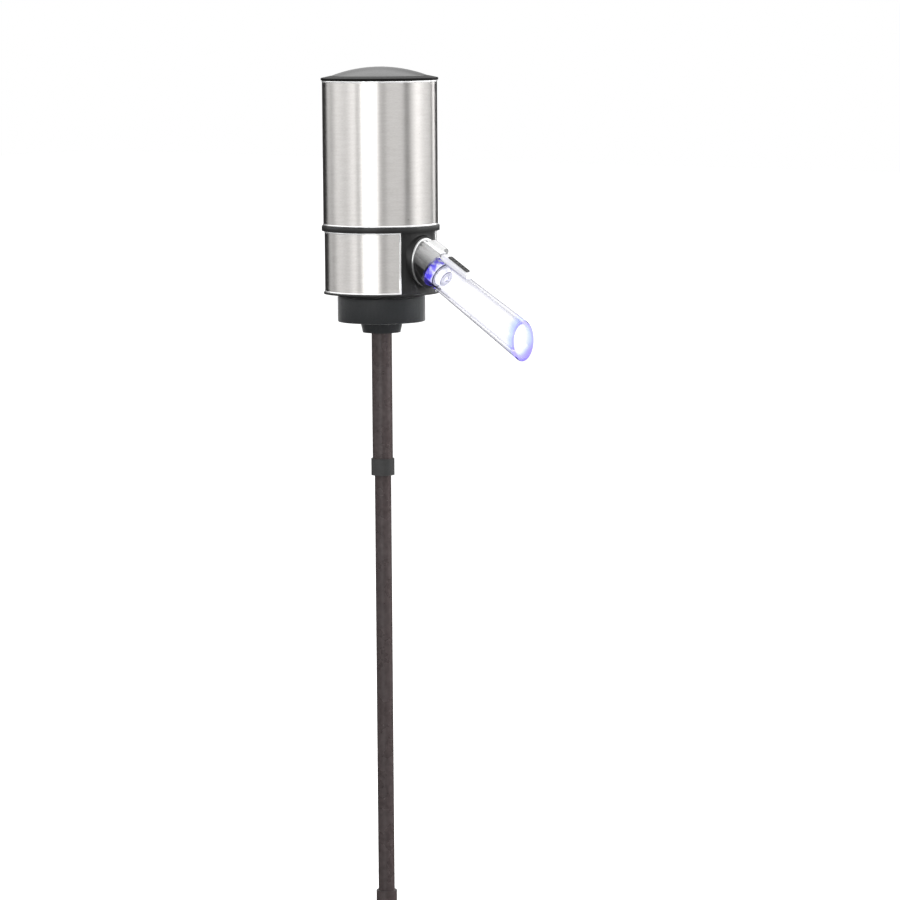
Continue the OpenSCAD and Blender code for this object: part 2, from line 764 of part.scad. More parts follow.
module spout_nozzle() color("#303136")
    difference() {
        union() {
            on_spout(nozzle_flange_s0) cylinder(r = barrel_bore_r - fit, h = nozzle_flange_t);
            on_spout(nozzle_flange_s0) cylinder(r = nozzle_land_r, h = nozzle_land_s1 - nozzle_flange_s0);
            on_spout(0) cylinder(r = nozzle_neck_r, h = nozzle_neck_s1);
            on_spout(nozzle_neck_s1)
                cylinder(r1 = nozzle_neck_r, r2 = nozzle_tip_r, h = nozzle_tip_s1 - nozzle_neck_s1);
            on_spout(riser_s - tail_end)
                cylinder(r = tail_r, h = nozzle_flange_s0 - riser_s + tail_end + cut);
            translate([riser_x, 0, 0]) bar(barb_r, nozzle_barb_z0, riser_z);
        }
        on_spout(riser_s) cylinder(r = nozzle_bore_r, h = nozzle_tip_s1 - riser_s + cut);
        translate([riser_x, 0, 0]) bar(barb_bore_r, nozzle_barb_z0 - cut, riser_z);
        on_spout(0) pipe(nozzle_land_r + cut, spout_o_centre_r - o_ring_r - o_groove_side,
            spout_o_ring_s - o_ring_r - o_groove_side, spout_o_ring_s + o_ring_r + o_groove_side);
        for (x = [-1, 1])
            on_spout(nozzle_flange_s0 - cut) translate([x * led_lead_x, lead_y, 0])
                cylinder(r = lead_hole_r, h = nozzle_flange_t + 2 * cut);
    }

module o_ring(centre_r, section_r)
    rotate_extrude() translate([centre_r, 0]) circle(r = section_r, $fn = 32);

module spout_o_ring() color("#111112")
    on_spout(spout_o_ring_s) o_ring(spout_o_centre_r, o_ring_r);

// Outside of the clear tube, also used to shape what sits on it
module tube_outside(grow) {
    on_spout(tube_s0) cylinder(r = shank_r + grow, h = cuff_s0 - tube_s0 + cut / 2);
    on_spout(cuff_s0) cylinder(r1 = cuff_r + grow, r2 = tube_r + grow, h = cuff_len);
    on_spout(cuff_s1 - cut / 4)
        cylinder(r1 = tube_r + grow, r2 = tube_r + tube_flare + grow, h = tube_s1 - cuff_s1 + cut / 4);
}

// The clear rib that carries the air intake, with chamfered edges and a slope at its end
module tube_rib()
    intersection() {
        on_spout(rib_s0)
            linear_extrude(rib_s1 - rib_s0)
                polygon([
                    [-rib_top, rib_edge - rib_w / 2], [-rib_top, rib_w / 2 - rib_edge],
                    [rib_edge - rib_top, rib_w / 2], [-tube_bore_r, rib_w / 2],
                    [-tube_bore_r, -rib_w / 2], [rib_edge - rib_top, -rib_w / 2]
                ]);
        on_top([
            [tube_bore_r - tube_wall, rib_s0], [rib_top, rib_s0], [rib_top, rib_s1 - rib_slope],
            [tube_r, rib_s1], [tube_bore_r - tube_wall, rib_s1]
        ]);
    }

module aerator_tube() color([0.86, 0.9, 0.98, 0.5])
    difference() {
        union() {
            tube_outside(0);
            tube_rib();
        }
        on_spout(intake_s0 - fit)
            translate([-rib_top - reach, -intake_w / 2 - fit, 0])
                cube([intake_seat + reach, intake_w + 2 * fit, intake_len + 2 * fit]);
        on_spout(tube_s0 - cut) cylinder(r = tube_bore_r, h = cuff_s1 - tube_s0 + 2 * cut);
        on_spout(cuff_s1)
            cylinder(r1 = tube_bore_r, r2 = tube_bore_r + bore_flare, h = tube_s1 - cuff_s1);
        translate([mouth_x, -far / 2, -far / 2]) cube(far);
        on_spout(intake_s0 + intake_len / 2) rotate([0, -90, 0]) cylinder(r = air_hole_r, h = reach);
    }

module air_intake() color("#4b4a4e")
    difference() {
        on_spout(intake_s0)
            translate([-rib_top - intake_h, -intake_w / 2, 0])
                cube([intake_h + intake_seat - fit, intake_w, intake_len]);
        for (i = [1:intake_slots])
            on_spout(intake_s0 + intake_len * i / (intake_slots + 1) - intake_slot_w / 2)
                translate([-rib_top - intake_h - cut, intake_rim - intake_w / 2, 0])
                    cube([intake_h + intake_seat + 2 * cut, intake_w - 2 * intake_rim, intake_slot_w]);
    }

module led_board() color("#2f6b45")
    on_spout(0) difference() {
        pipe(barrel_bore_r - fit, nozzle_land_r + fit, led_board_s0, led_s0);
        for (x = [-1, 1])
            translate([x * led_lead_x, lead_y, 0])
                bar(lead_hole_r, led_board_s0 - cut, led_s0 + cut);
    }

module led_chips() color("#6a63ff")
    on_spout(led_s0)
        for (a = led_angles)
            rotate(a + 45) translate([(tube_bore_r + shank_r - led_w) / 2, -led_w / 2, 0])
                cube([led_w, led_w, led_h]);

// LED leads: through the nozzle's flange, under the chassis and up its column
lead_top = chassis_z1;
lead_run_z = (motor_z1 + chassis_z0) / 2;
function led_lead_path(side) = concat(
    [for (s = [led_s0, -barrel_in - 1]) spout_point(side * led_lead_x, lead_y, s)],
    [
        spout_point(side * led_lead_x, lead_y, -barrel_in - 4) + [0, 0, 1.5],
        [riser_x + 3, lead_y - side * 0.8, lead_run_z - 3.2],
        [riser_x, lead_y - side * 0.8, lead_run_z - 0.6],
        [riser_x - 3, lead_y - side * 0.8, lead_run_z],
        [4, 2.2 - side * 0.8, lead_run_z],
        [1.2 + side * 1.4, 1.8 - side * 0.6, lead_run_z + 0.1],
        [side * lead_offset[0], lead_offset[1], lead_run_z + 1.2],
        [side * lead_offset[0], lead_offset[1], lead_run_z + 3],
        [side * lead_offset[0], lead_offset[1], lead_top]
    ]
);
module led_leads() color("#b3262b")
    for (side = [-1, 1]) wire(led_lead_path(side), lead_r, 8, [0.2, 1, 0]);

// Pump

module pump_gasket() color("#1f1f20")
    difference() {
        pump_slab(flange_t, pump_z0);
        translate([-inlet_x, 0, 0]) bar(inlet_hole_r, flange_t - cut, pump_z0 + cut);
        for (p = pump_screws_at)
            translate([p[0], p[1], 0]) bar(pump_screw_r + fit, flange_t - cut, pump_z0 + cut);
    }

module pump_housing() color("#d8d4c8")
    difference() {
        union() {
            pump_slab(pump_z0, pump_z1);
            translate([0, -ear_w / 2, pump_z0]) cube([riser_x, ear_w, riser_boss_z1 - pump_z0]);
            translate([riser_x, 0, 0]) bar(riser_boss_r, pump_z0, riser_boss_z1);
            translate([riser_x, 0, 0]) bar(barb_r, pump_z0, riser_boss_z1 + barb_len);
        }
        for (side = [-1, 1]) translate([0, side * pitch_r, 0]) bar(pocket_r, pocket_z0, pump_z1 + cut);
        translate([-chamber_x, -chamber_w / 2, pocket_z0]) cube([2 * chamber_x, chamber_w, pump_z1]);
        translate([-inlet_x, 0, 0]) bar(inlet_hole_r, pump_z0 - cut, pocket_z0 + cut);
        translate([chamber_x - cut, 0, duct_z]) rotate([0, 90, 0])
            cylinder(r = duct_r, h = riser_x - chamber_x + cut);
        translate([riser_x, 0, 0]) bar(barb_bore_r, duct_z, riser_boss_z1 + barb_len + cut);
        translate([0, -pitch_r, 0]) bar(bush_r + fit, pocket_z0 - bush_t, pocket_z0 + cut);
        translate([0, pitch_r, 0]) bar(shaft_r + fit, pocket_z0 - axle_seat, pocket_z0 + cut);
        for (p = pump_screws_at)
            translate([p[0], p[1], 0]) bar(pump_screw_r + fit, pump_z0 - cut, pump_z1 + cut);
    }

module pump_cover() color("#cbc7ba")
    difference() {
        pump_slab(pump_z1, cover_z1);
        translate([0, -pitch_r, 0]) {
            bar(shaft_r + free, pump_z1 - cut, cover_z1 + cut);
            bar(bush_r + fit, pump_z1 - cut, pump_z1 + bush_t);
            bar(seal_r + fit, cover_z1 - seal_t, cover_z1 + cut);
        }
        translate([0, pitch_r, 0]) bar(shaft_r + fit, pump_z1 - cut, pump_z1 + axle_seat);
        for (p = pump_screws_at) translate([p[0], p[1], 0]) {
            bar(pump_screw_r + fit, pump_z1 - cut, cover_z1 + cut);
            bar(pump_screw_head_r + fit, pump_head_z0, cover_z1 + cut);
        }
    }

module pump_screws() color("#a3a3a6")
    for (p = pump_screws_at)
        translate([p[0], p[1], pump_head_z0])
            pan_screw(pump_screw_r, pump_head_z0 - pump_screw_z0, pump_screw_head_r, pump_screw_head_t);

module drive_gear() color("#e6e1d2")
    translate([0, -pitch_r, 0]) pump_gear(shaft_r + fit, 90);

module driven_gear() color("#ddd7c5")
    translate([0, pitch_r, 0]) pump_gear(shaft_r + slip, 90 + 180 / gear_teeth);

module driven_axle() color("#8f9195")
    translate([0, pitch_r, 0]) bar(shaft_r, pocket_z0 - axle_seat + fit, pump_z1 + axle_seat - fit);

module shaft_bushes() color("#b8894a")
    translate([0, -pitch_r, 0]) {
        pipe(bush_r, shaft_r + slip, pocket_z0 - bush_t + fit, pocket_z0);
        pipe(bush_r, shaft_r + slip, pump_z1, pump_z1 + bush_t - fit);
    }

module shaft_seal() color("#161617")
    translate([0, -pitch_r, 0]) pipe(seal_r, shaft_r + slip, cover_z1 - seal_t + fit, cover_z1);

module outlet_hose() color("#c9cdd2")
    translate([riser_x, 0, 0]) pipe(hose_r, barb_r + fit, riser_boss_z1, hose_z1);

// Motor

module motor_can() color("#b9bbbe")
    translate([0, -pitch_r, 0]) difference() {
        bar(motor_r, motor_z0, can_z1);
        bar(can_in_r, motor_z0 + can_t, can_z1 + cut);
        bar(shaft_r + free, motor_z0 - cut, motor_z0 + can_t + cut);
    }

module motor_magnets() color("#4a4a4d")
    translate([0, -pitch_r, motor_z0 + can_t])
        for (turn = [0, 180])
            rotate(turn - magnet_angle / 2) rotate_extrude(angle = magnet_angle)
                translate([magnet_r - magnet_t, 0]) square([magnet_t, can_z1 - motor_z0 - can_t]);

module motor_rotor() color("#a8713c")
    translate([0, -pitch_r, 0]) difference() {
        union() {
            bar(rotor_r, motor_z0 + can_t + rotor_end_gap, can_z1 - 2 * rotor_end_gap);
            bar(commutator_r, can_z1 - 3 * rotor_end_gap, can_z1 - rotor_end_gap / 2);
        }
        bar(shaft_r + fit, motor_z0, motor_z1);
        for (a = [0, 120, 240])
            rotate(a) translate([commutator_r + rotor_hub_wall, -rotor_slot_w / 2, motor_z0])
                cube([rotor_r, rotor_slot_w, motor_z1 - motor_z0]);
    }

module motor_shaft() color("#9b9da1")
    translate([0, -pitch_r, 0]) bar(shaft_r, pocket_z0 - bush_t + 2 * fit, motor_z1 - end_cap_t / 2);

module motor_end_cap() color("#262628")
    difference() {
        translate([0, -pitch_r, 0]) bar(motor_r - fit, can_z1, motor_z1);
        translate([0, -pitch_r, 0]) bar(shaft_r + slip, can_z1 - cut, motor_z1 - end_cap_t / 2 + fit);
    }

module motor_leads() color("#1d1d1f")
    for (side = [-1, 1])
        translate([side * lead_offset[0], -lead_offset[1], 0]) bar(lead_r, motor_z1, lead_top);

// Battery pack

module battery_chassis() color("#2b2b2e")
    difference() {
        union() {
            bar(chassis_r, chassis_z0, cells_z0);
            bar(chassis_r, cells_z1, chassis_z1);
            bar(column_r, chassis_z0, chassis_z1);
            for (a = cell_angles)
                rotate(a + 30) translate([0, -web_t / 2, cells_z0 + contact_t + web_gap])
                    cube([cell_pitch_r, web_t, cells_z1 - cells_z0 - 2 * contact_t - 2 * web_gap]);
        }
        bar(lead_bore_r, chassis_z0 - cut, chassis_z1 + cut);
        for (a = post_angles)
            rotate(a) translate([post_pitch_r, 0, 0]) {
                bar(chassis_screw_r + fit, chassis_z0 - cut, cells_z0 + cut);
                bar(chassis_screw_head_r + free, cells_z1 - cut, chassis_z1 + cut);
            }
        for (x = [-1, 1])
            translate([x * board_screw_x, 0, 0]) bar(board_screw_r + fit, cells_z1 - cut, chassis_z1 + cut);
    }

module chassis_screws() color("#a3a3a6")
    for (a = post_angles)
        rotate(a) translate([post_pitch_r, 0, cells_z0])
            pan_screw(chassis_screw_r, plate_t + chassis_screw_bite, chassis_screw_head_r,
                chassis_screw_head_t);

// Cells stand alternately nub up and nub down
module cell() {
    bar(cell_r, 0, cell_len - nub_h);
    bar(nub_r, 0, cell_len);
}
module battery_cells() color("#3f6f8f")
    for (i = [0:5])
        rotate(cell_angles[i]) translate([cell_pitch_r, 0, cells_z0 + contact_t])
            if (i % 2 == 0) translate([0, 0, contact_h]) cell();
            else translate([0, 0, cell_len]) mirror([0, 0, 1]) cell();

module contact_springs() color("#c2b79a")
    for (i = [0:5])
        rotate(cell_angles[i]) translate([cell_pitch_r, 0, 0])
            if (i % 2 == 0)
                translate([0, 0, cells_z0 + contact_t]) wire(contact_path, contact_wire_r, 6, [0, 0, 1]);
            else
                translate([0, 0, cells_z1 - contact_t]) mirror([0, 0, 1])
                    wire(contact_path, contact_wire_r, 6, [0, 0, 1]);

// A contact pad under a cell, with a bar to the pad of the next cell where they are joined
module contact_pad(z0, joined) {
    translate([cell_pitch_r, 0, 0]) bar(contact_pad_r, z0, z0 + contact_t);
    if (joined) {
        rotate(60) translate([cell_pitch_r, 0, 0]) bar(contact_pad_r, z0, z0 + contact_t);
        rotate(30) translate([cell_pitch_r * cos(30) - contact_bar_w / 2, -cell_pitch_r / 2, z0])
            cube([contact_bar_w, cell_pitch_r, contact_t]);
    }
}
module contact_plates() color("#d2cfc8") {
    for (a = [0, 120, 240]) rotate(a) contact_pad(cells_z0, true);
    for (a = [60, 180]) rotate(a) contact_pad(cells_z1 - contact_t, true);
    for (a = [0, 300]) rotate(a) contact_pad(cells_z1 - contact_t, false);
}

// Switch

module switch_board() color("#2d6a46")
    difference() {
        bar(board_r, chassis_z1, board_z1);
        for (x = [-1, 1])
            translate([x * board_screw_x, 0, 0]) bar(board_screw_r + fit, chassis_z1 - cut, board_z1 + cut);
    }

module board_screws() color("#a3a3a6")
    for (x = [-1, 1])
        translate([x * board_screw_x, 0, board_z1])
            pan_screw(board_screw_r, board_t + plate_t - fit, board_screw_head_r, board_screw_head_t);

module switch_body() color("#222225")
    difference() {
        translate([-switch_w / 2, -switch_w / 2, board_z1]) cube([switch_w, switch_w, switch_h]);
        bar(plunger_r + slip, plunger_well_z0, switch_z1 + cut);
    }

module switch_plunger() color("#b23a35")
    bar(plunger_r, plunger_z0, plunger_top);

// Cap and button

module cap_o_ring() color("#111112")
    translate([0, 0, cap_o_z]) o_ring(cap_o_centre_r, o_ring_r);

module cap_barrel() color("#1d1d20")
    difference() {
        union() {
            difference() {
                bar(cap_out_r, cap_z0, sleeve_top);
                bar(cap_in_r, cap_z0 - cut, deck_z0);
                bar(cap_in_r, deck_z1, sleeve_top + cut);
            }
            bar(boss_r, deck_z0 + deck_t / 2, deck_z1 + boss_h);
        }
        bar(stem_r + slip, deck_z0 - cut, deck_z1 + boss_h + cut);
    }

module upper_sleeve() color("#cfcecc")
    pipe(sleeve_r, sleeve_r - sleeve_t, cap_z0, sleeve_top);

module top_bezel() color("#161618") {
    pipe(bezel_r, button_r + free, sleeve_top, bezel_top);
    pipe(cap_in_r - fit, button_r + free, sleeve_top - bezel_skirt_h, sleeve_top);
}

module power_button() color("#8d8c90")
    difference() {
        union() {
            difference() {
                intersection() {
                    bar(button_r, button_z0, dome_apex + cut);
                    translate([0, 0, dome_apex - dome_sphere_r]) sphere(r = dome_sphere_r, $fn = 4 * $fn);
                }
                bar(button_r - button_wall, button_z0 - cut, roof_z);
                bar(recess_r, roof_z - cut, recess_z1);
            }
            bar(stem_r, stem_z0, recess_z1 + dome_roof / 4);
        }
        pipe(stem_r + cut, clip_groove_r, clip_z0 - fit, clip_z1 + fit);
    }

module button_spring() color("#b9babd")
    wire(spring_path, spring_wire_r, 6, [0, 0, 1]);

module stem_clip() color("#7d7e82")
    difference() {
        pipe(clip_r, clip_groove_r + fit, clip_z0, clip_z1);
        translate([0, -clip_groove_r * 0.8, clip_z0 - cut])
            cube([2 * clip_r, clip_groove_r * 1.6, clip_t + 2 * cut]);
    }

bottle_collar();
rim_seal();
stopper_plug();
dip_tube_outer();
tube_seal();
dip_tube_inner();
inlet_foot();
lower_body();
lower_sleeve();
barrel_ring();
spout_barrel();
spout_nozzle();
spout_o_ring();
aerator_tube();
air_intake();
led_board();
led_chips();
led_leads();
outlet_hose();
pump_gasket();
pump_housing();
pump_cover();
pump_screws();
flange_screws();
drive_gear();
driven_gear();
driven_axle();
shaft_bushes();
shaft_seal();
motor_can();
motor_magnets();
motor_rotor();
motor_shaft();
motor_end_cap();
motor_leads();
battery_chassis();
battery_cells();
contact_springs();
contact_plates();
chassis_screws();
switch_board();
board_screws();
switch_body();
switch_plunger();
cap_o_ring();
cap_barrel();
upper_sleeve();
top_bezel();
power_button();
button_spring();
stem_clip();
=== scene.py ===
# %% [markdown]
# # Dressing a wine aerator dispenser
#
# The solids already have the right sizes, places and joints, so nothing here moves them. This lesson
# gives every surface its finish, remakes the pieces whose edges and curves show most, and sets up the
# camera and the light. Each new piece takes its place from the frame's boxes and joint axes.

# %% Load the solids
import json
import math

import bmesh
import bpy
from mathutils import Matrix, Vector

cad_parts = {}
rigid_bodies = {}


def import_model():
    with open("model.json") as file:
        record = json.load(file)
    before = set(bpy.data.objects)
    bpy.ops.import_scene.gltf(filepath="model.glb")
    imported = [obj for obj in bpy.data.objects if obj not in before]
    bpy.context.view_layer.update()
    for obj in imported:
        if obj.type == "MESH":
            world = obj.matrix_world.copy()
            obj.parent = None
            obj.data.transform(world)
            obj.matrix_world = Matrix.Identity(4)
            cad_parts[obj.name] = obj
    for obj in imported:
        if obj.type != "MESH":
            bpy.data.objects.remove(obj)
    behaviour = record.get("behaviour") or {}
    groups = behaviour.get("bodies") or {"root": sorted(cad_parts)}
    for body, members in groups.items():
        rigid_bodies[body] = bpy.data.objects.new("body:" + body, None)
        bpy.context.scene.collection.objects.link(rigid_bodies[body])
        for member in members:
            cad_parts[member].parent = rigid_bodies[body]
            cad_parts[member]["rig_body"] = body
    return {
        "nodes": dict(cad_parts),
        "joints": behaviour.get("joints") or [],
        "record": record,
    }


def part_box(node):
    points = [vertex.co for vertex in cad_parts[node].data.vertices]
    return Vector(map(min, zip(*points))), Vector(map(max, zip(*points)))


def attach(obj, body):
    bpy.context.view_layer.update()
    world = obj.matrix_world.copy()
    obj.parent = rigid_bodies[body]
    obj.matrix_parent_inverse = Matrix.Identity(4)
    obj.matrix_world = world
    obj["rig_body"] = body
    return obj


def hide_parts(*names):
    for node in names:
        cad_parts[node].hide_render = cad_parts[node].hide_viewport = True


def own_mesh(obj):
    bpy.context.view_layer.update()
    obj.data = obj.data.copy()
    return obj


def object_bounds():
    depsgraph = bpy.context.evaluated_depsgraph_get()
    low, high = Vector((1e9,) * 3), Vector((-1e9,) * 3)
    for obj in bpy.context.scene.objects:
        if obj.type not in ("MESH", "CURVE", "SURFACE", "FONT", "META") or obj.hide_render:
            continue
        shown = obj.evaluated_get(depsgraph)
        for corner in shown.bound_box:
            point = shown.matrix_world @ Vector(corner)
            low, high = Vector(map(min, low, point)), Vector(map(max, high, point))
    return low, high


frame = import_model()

MM = 0.001
nodes = frame["nodes"]
joints = {joint["name"]: joint for joint in frame["joints"]}
slots = {part["node"]: part["material_slot"] for part in frame["record"]["subparts"]}
cad_low, cad_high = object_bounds()
print(len(nodes), "solids, from", [round(v, 4) for v in cad_low], "to", [round(v, 4) for v in cad_high])

# %% [markdown]
# ## The camera
#
# The dispenser is seen from a little above and from its left front, so the spout points to the right
# and towards us. A long lens from almost two metres keeps the upright sides parallel. The camera is
# built from plain numbers that can be measured on a picture: the direction, the height, the point in
# the middle of the frame and the width of the view there. A tiny roll makes the head lean as it does.

# %% Place the camera
VIEW_TURN = math.radians(40.2)
CAMERA_AWAY = 1750 * MM
CAMERA_HEIGHT = 129.4 * MM
FRAME_RIGHT = 29.2 * MM
FRAME_UP = -70.7 * MM
FRAME_WIDTH = 391 * MM
ROLL = math.radians(-0.41)

def link(obj):
    """Put a new object into the scene."""
    bpy.context.scene.collection.objects.link(obj)
    return obj

to_camera = Vector((math.sin(VIEW_TURN), -math.cos(VIEW_TURN), 0))
to_right = Vector((math.cos(VIEW_TURN), math.sin(VIEW_TURN), 0))
eye = to_camera * CAMERA_AWAY + Vector((0, 0, CAMERA_HEIGHT))
middle = to_right * FRAME_RIGHT + Vector((0, 0, FRAME_UP))
forward = (middle - eye).normalized()
level = forward.cross(Vector((0, 0, 1))).normalized()
upright = level.cross(forward)
right = level * math.cos(ROLL) + upright * math.sin(ROLL)
up = upright * math.cos(ROLL) - level * math.sin(ROLL)

camera_data = bpy.data.cameras.new("camera")
camera_data.lens = camera_data.sensor_width * (middle - eye).length / FRAME_WIDTH
camera = link(bpy.data.objects.new("camera", camera_data))
camera.matrix_world = Matrix.Translation(eye) @ Matrix((right, up, -forward)).transposed().to_4x4()
bpy.context.scene.camera = camera
print("lens", round(camera_data.lens, 1), "mm")

# %% [markdown]
# ## The floor and the light
#
# Bright metal has no look of its own: it shows the room. A product photographer therefore puts white
# softboxes and dark flags around a steel cylinder, and each one becomes an upright band on it. Here the
# room is one world shader. A colour ramp round the horizon holds the softboxes and flags, placed by
# their angle from the camera. It darkens below the horizon, like a table, and turns to one soft grey
# overhead. Only mirror-like reflections see this room: the picture's background and the soft light on
# dull surfaces come from a plain pale world.

# %% Make the floor
FLOOR_HALF = 6.0
WHITE = (1.0, 1.0, 1.0, 1.0)

def grey(value, warmth=0.0):
    """A grey as red, green, blue and alpha, a little yellower if warmth is over zero."""
    return (value * (1 + warmth), value, value * (1 - warmth), 1.0)

def wire(tree, source, target):
    """Join an output socket to an input socket, or set the input to a plain value."""
    if isinstance(source, bpy.types.NodeSocket):
        tree.links.new(source, target)
    else:
        target.default_value = source

def set_inputs(tree, node, values):
    """Wire or set a node's inputs by name."""
    for name, value in values.items():
        wire(tree, value, node.inputs[name])

floor_mesh = bpy.data.meshes.new("floor")
floor_signs = ((-1, -1), (1, -1), (1, 1), (-1, 1))
floor_corners = [(x * FLOOR_HALF, y * FLOOR_HALF, cad_low.z) for x, y in floor_signs]
floor_mesh.from_pydata(floor_corners, [], [(0, 1, 2, 3)])
floor = link(bpy.data.objects.new("floor", floor_mesh))
floor.visible_glossy = False
floor_paper = bpy.data.materials.new("floor_paper")
floor_paper.use_nodes = True
paper_tree = floor_paper.node_tree
set_inputs(paper_tree, paper_tree.nodes["Principled BSDF"], {
    "Base Color": grey(0.93), "Roughness": 0.9, "Specular IOR Level": 0.0,
    "Emission Color": WHITE, "Emission Strength": 0.25})
floor_mesh.materials.append(floor_paper)
print("floor at", round(cad_low.z, 4))

# %% Build the room of softboxes and flags
# Angle from the camera in degrees, positive to its right, and brightness. A steel cylinder shows the
# angle a at sin(a / 2) of its radius.
ROOM_BANDS = [
    (-180, 0.5), (-166, 0.4), (-162, 0.08), (-139, 0.10), (-130, 2.2), (-122, 2.1), (-116, 1.4), (-98, 3.0),
    (-72, 2.4), (-54, 4.0), (-46, 1.8), (-42, 1.8), (-37, 6.0), (-7, 6.0), (-2, 1.9), (9, 1.5), (14, 2.4),
    (44, 2.4), (50, 1.9), (53, 0.9), (60, 0.8), (64, 2.0), (81, 4.4), (100, 2.9), (123, 2.3), (126, 0.4),
    (131, 0.4), (134, 4.8), (142, 4.8), (146, 0.1), (166, 0.2), (180, 0.5),
]
ROOM_MOST = 6.0
# Sine of the elevation, and the share of the bands that is left there
ROOM_LEVELS = [(-1.0, 0.02), (-0.03, 0.05), (0.09, 1.0), (1.0, 1.0)]
CEILING = 0.8
CEILING_FROM, CEILING_FULL = 0.32, 0.52

world = bpy.data.worlds.new("studio")
bpy.context.scene.world = world
world.use_nodes = True
room = world.node_tree
pale_world = room.nodes["Background"]
pale_world.inputs["Color"].default_value = WHITE

def add_node(tree, kind, values):
    """A new shader node of that kind, with its inputs wired or set by name."""
    node = tree.nodes.new("ShaderNode" + kind)
    set_inputs(tree, node, values)
    return node

def math_node(tree, operation, first, second=None):
    """A math node on sockets or numbers, returning its output."""
    node = tree.nodes.new("ShaderNodeMath")
    node.operation = operation
    for socket, value in zip(node.inputs, (first, second)):
        if value is not None:
            wire(tree, value, socket)
    return node.outputs[0]

def share_between(tree, value, start, end):
    """Where a socket's value lies between a start, as 0, and an end, as 1."""
    return math_node(tree, "DIVIDE", math_node(tree, "SUBTRACT", value, start), end - start)

def ramp(tree, source, stops):
    """A colour ramp over a 0 to 1 socket; stops are (place, colour or grey value)."""
    node = add_node(tree, "ValToRGB", {"Fac": source})
    elements = node.color_ramp.elements
    while len(elements) < len(stops):
        elements.new(1.0)
    for element, (place, colour) in zip(elements, stops):
        element.position = place
        element.color = colour if isinstance(colour, tuple) else grey(colour)
    return node.outputs["Color"]

def mix_colours(tree, first, second, share, blend="MIX"):
    """Mix two colours, each a socket or a colour, by a share that is a socket or a number."""
    node = tree.nodes.new("ShaderNodeMix")
    node.data_type = "RGBA"
    node.blend_type = blend
    for name, value in (("Factor", share), ("A", first), ("B", second)):
        wire(tree, value, [s for s in node.inputs if s.name == name and s.enabled][0])
    return [s for s in node.outputs if s.enabled][0]

direction = room.nodes.new("ShaderNodeTexCoord").outputs["Generated"]
camera_turn = math.atan2(to_camera.y, to_camera.x)
facing = add_node(room, "VectorRotate", {"Vector": direction, "Angle": -camera_turn})
facing.rotation_type = "Z_AXIS"
split = add_node(room, "SeparateXYZ", {"Vector": facing.outputs["Vector"]}).outputs
round_share = share_between(room, math_node(room, "ARCTAN2", split["Y"], split["X"]), -math.pi, math.pi)
bands = ramp(room, round_share, [((a + 180) / 360, v / ROOM_MOST) for a, v in ROOM_BANDS])
height_share = share_between(room, split["Z"], -1.0, 1.0)
levels = ramp(room, height_share, [((z + 1) / 2, v) for z, v in ROOM_LEVELS])
overhead = ramp(room, height_share, [((CEILING_FROM + 1) / 2, 0.0), ((CEILING_FULL + 1) / 2, 1.0)])
walls = mix_colours(room, bands, levels, 1.0, "MULTIPLY")
softboxes = mix_colours(room, walls, grey(CEILING / ROOM_MOST), overhead)
studio = add_node(room, "Background", {"Color": softboxes, "Strength": ROOM_MOST})
ray = room.nodes.new("ShaderNodeLightPath").outputs
seen_through = math_node(room, "SUBTRACT", 1.0, ray["Is Transmission Ray"])
mirrored = math_node(room, "MULTIPLY", ray["Is Glossy Ray"], seen_through)
choose = add_node(room, "MixShader", {"Fac": mirrored})
wire(room, pale_world.outputs[0], choose.inputs[1])
wire(room, studio.outputs[0], choose.inputs[2])
wire(room, choose.outputs[0], room.nodes["World Output"].inputs["Surface"])
print(len(ROOM_BANDS), "stops round the horizon")

# %% Hang the lamps
LAMP_SIZE = 0.9
# Name, power in watts, and place: to the right, towards the camera and up, in metres
LAMPS = [("left_softbox", 6.0, (-0.8, 0.7, 1.3)), ("right_softbox", 20.0, (1.2, 0.1, 0.2))]

def hang_lamp(name, power, place):
    """A square soft lamp that points at the part and doesn't show in mirror-like surfaces."""
    lamp_data = bpy.data.lights.new(name, "AREA")
    lamp_data.energy = power
    lamp_data.size = LAMP_SIZE
    lamp = link(bpy.data.objects.new(name, lamp_data))
    lamp.location = to_right * place[0] + to_camera * place[1] + Vector((0, 0, place[2]))
    lamp.rotation_mode = "QUATERNION"
    lamp.rotation_quaternion = (-lamp.location).to_track_quat("-Z", "Y")
    lamp.visible_glossy = False
    print(name, "at", [round(v, 2) for v in lamp.location])

for name, power, place in LAMPS:
    hang_lamp(name, power, place)
bpy.context.scene.view_settings.view_transform = "Standard"

# %% [markdown]
# ## Finishes
#
# Every finish starts from the Principled shader. None is one flat colour: noise moves the colour and
# the roughness a little, at the scale that the real material shows, and a faint bump breaks up the
# reflections. A small helper makes the common moulded and cast finishes; the ones that carry the look
# of the object, such as the brushed steel and the lit clear tube, get a cell of their own.

# %% Start a finish
finishes = {}
# Noise seldom leaves this part of 0 to 1
NOISE_LOW, NOISE_HIGH = 0.3, 0.7

def start_finish(name, metallic=0.0):
    """A new material, its node tree and its Principled shader."""
    material = bpy.data.materials.new(name)
    material.use_nodes = True
    shader = material.node_tree.nodes["Principled BSDF"]
    shader.inputs["Metallic"].default_value = metallic
    finishes[name] = material
    return material.node_tree, shader

def object_point(tree):
    """The surface point in the part's own frame, in metres."""
    return tree.nodes.new("ShaderNodeTexCoord").outputs["Object"]

def split_point(tree):
    """The surface point's X, Y and Z sockets."""
    return add_node(tree, "SeparateXYZ", {"Vector": object_point(tree)}).outputs

def noise(tree, point, per_mm, detail=3.0):
    """Noise with about that many grains in a millimetre."""
    values = {"Vector": point, "Scale": per_mm / MM, "Detail": detail}
    return add_node(tree, "TexNoise", values).outputs["Fac"]

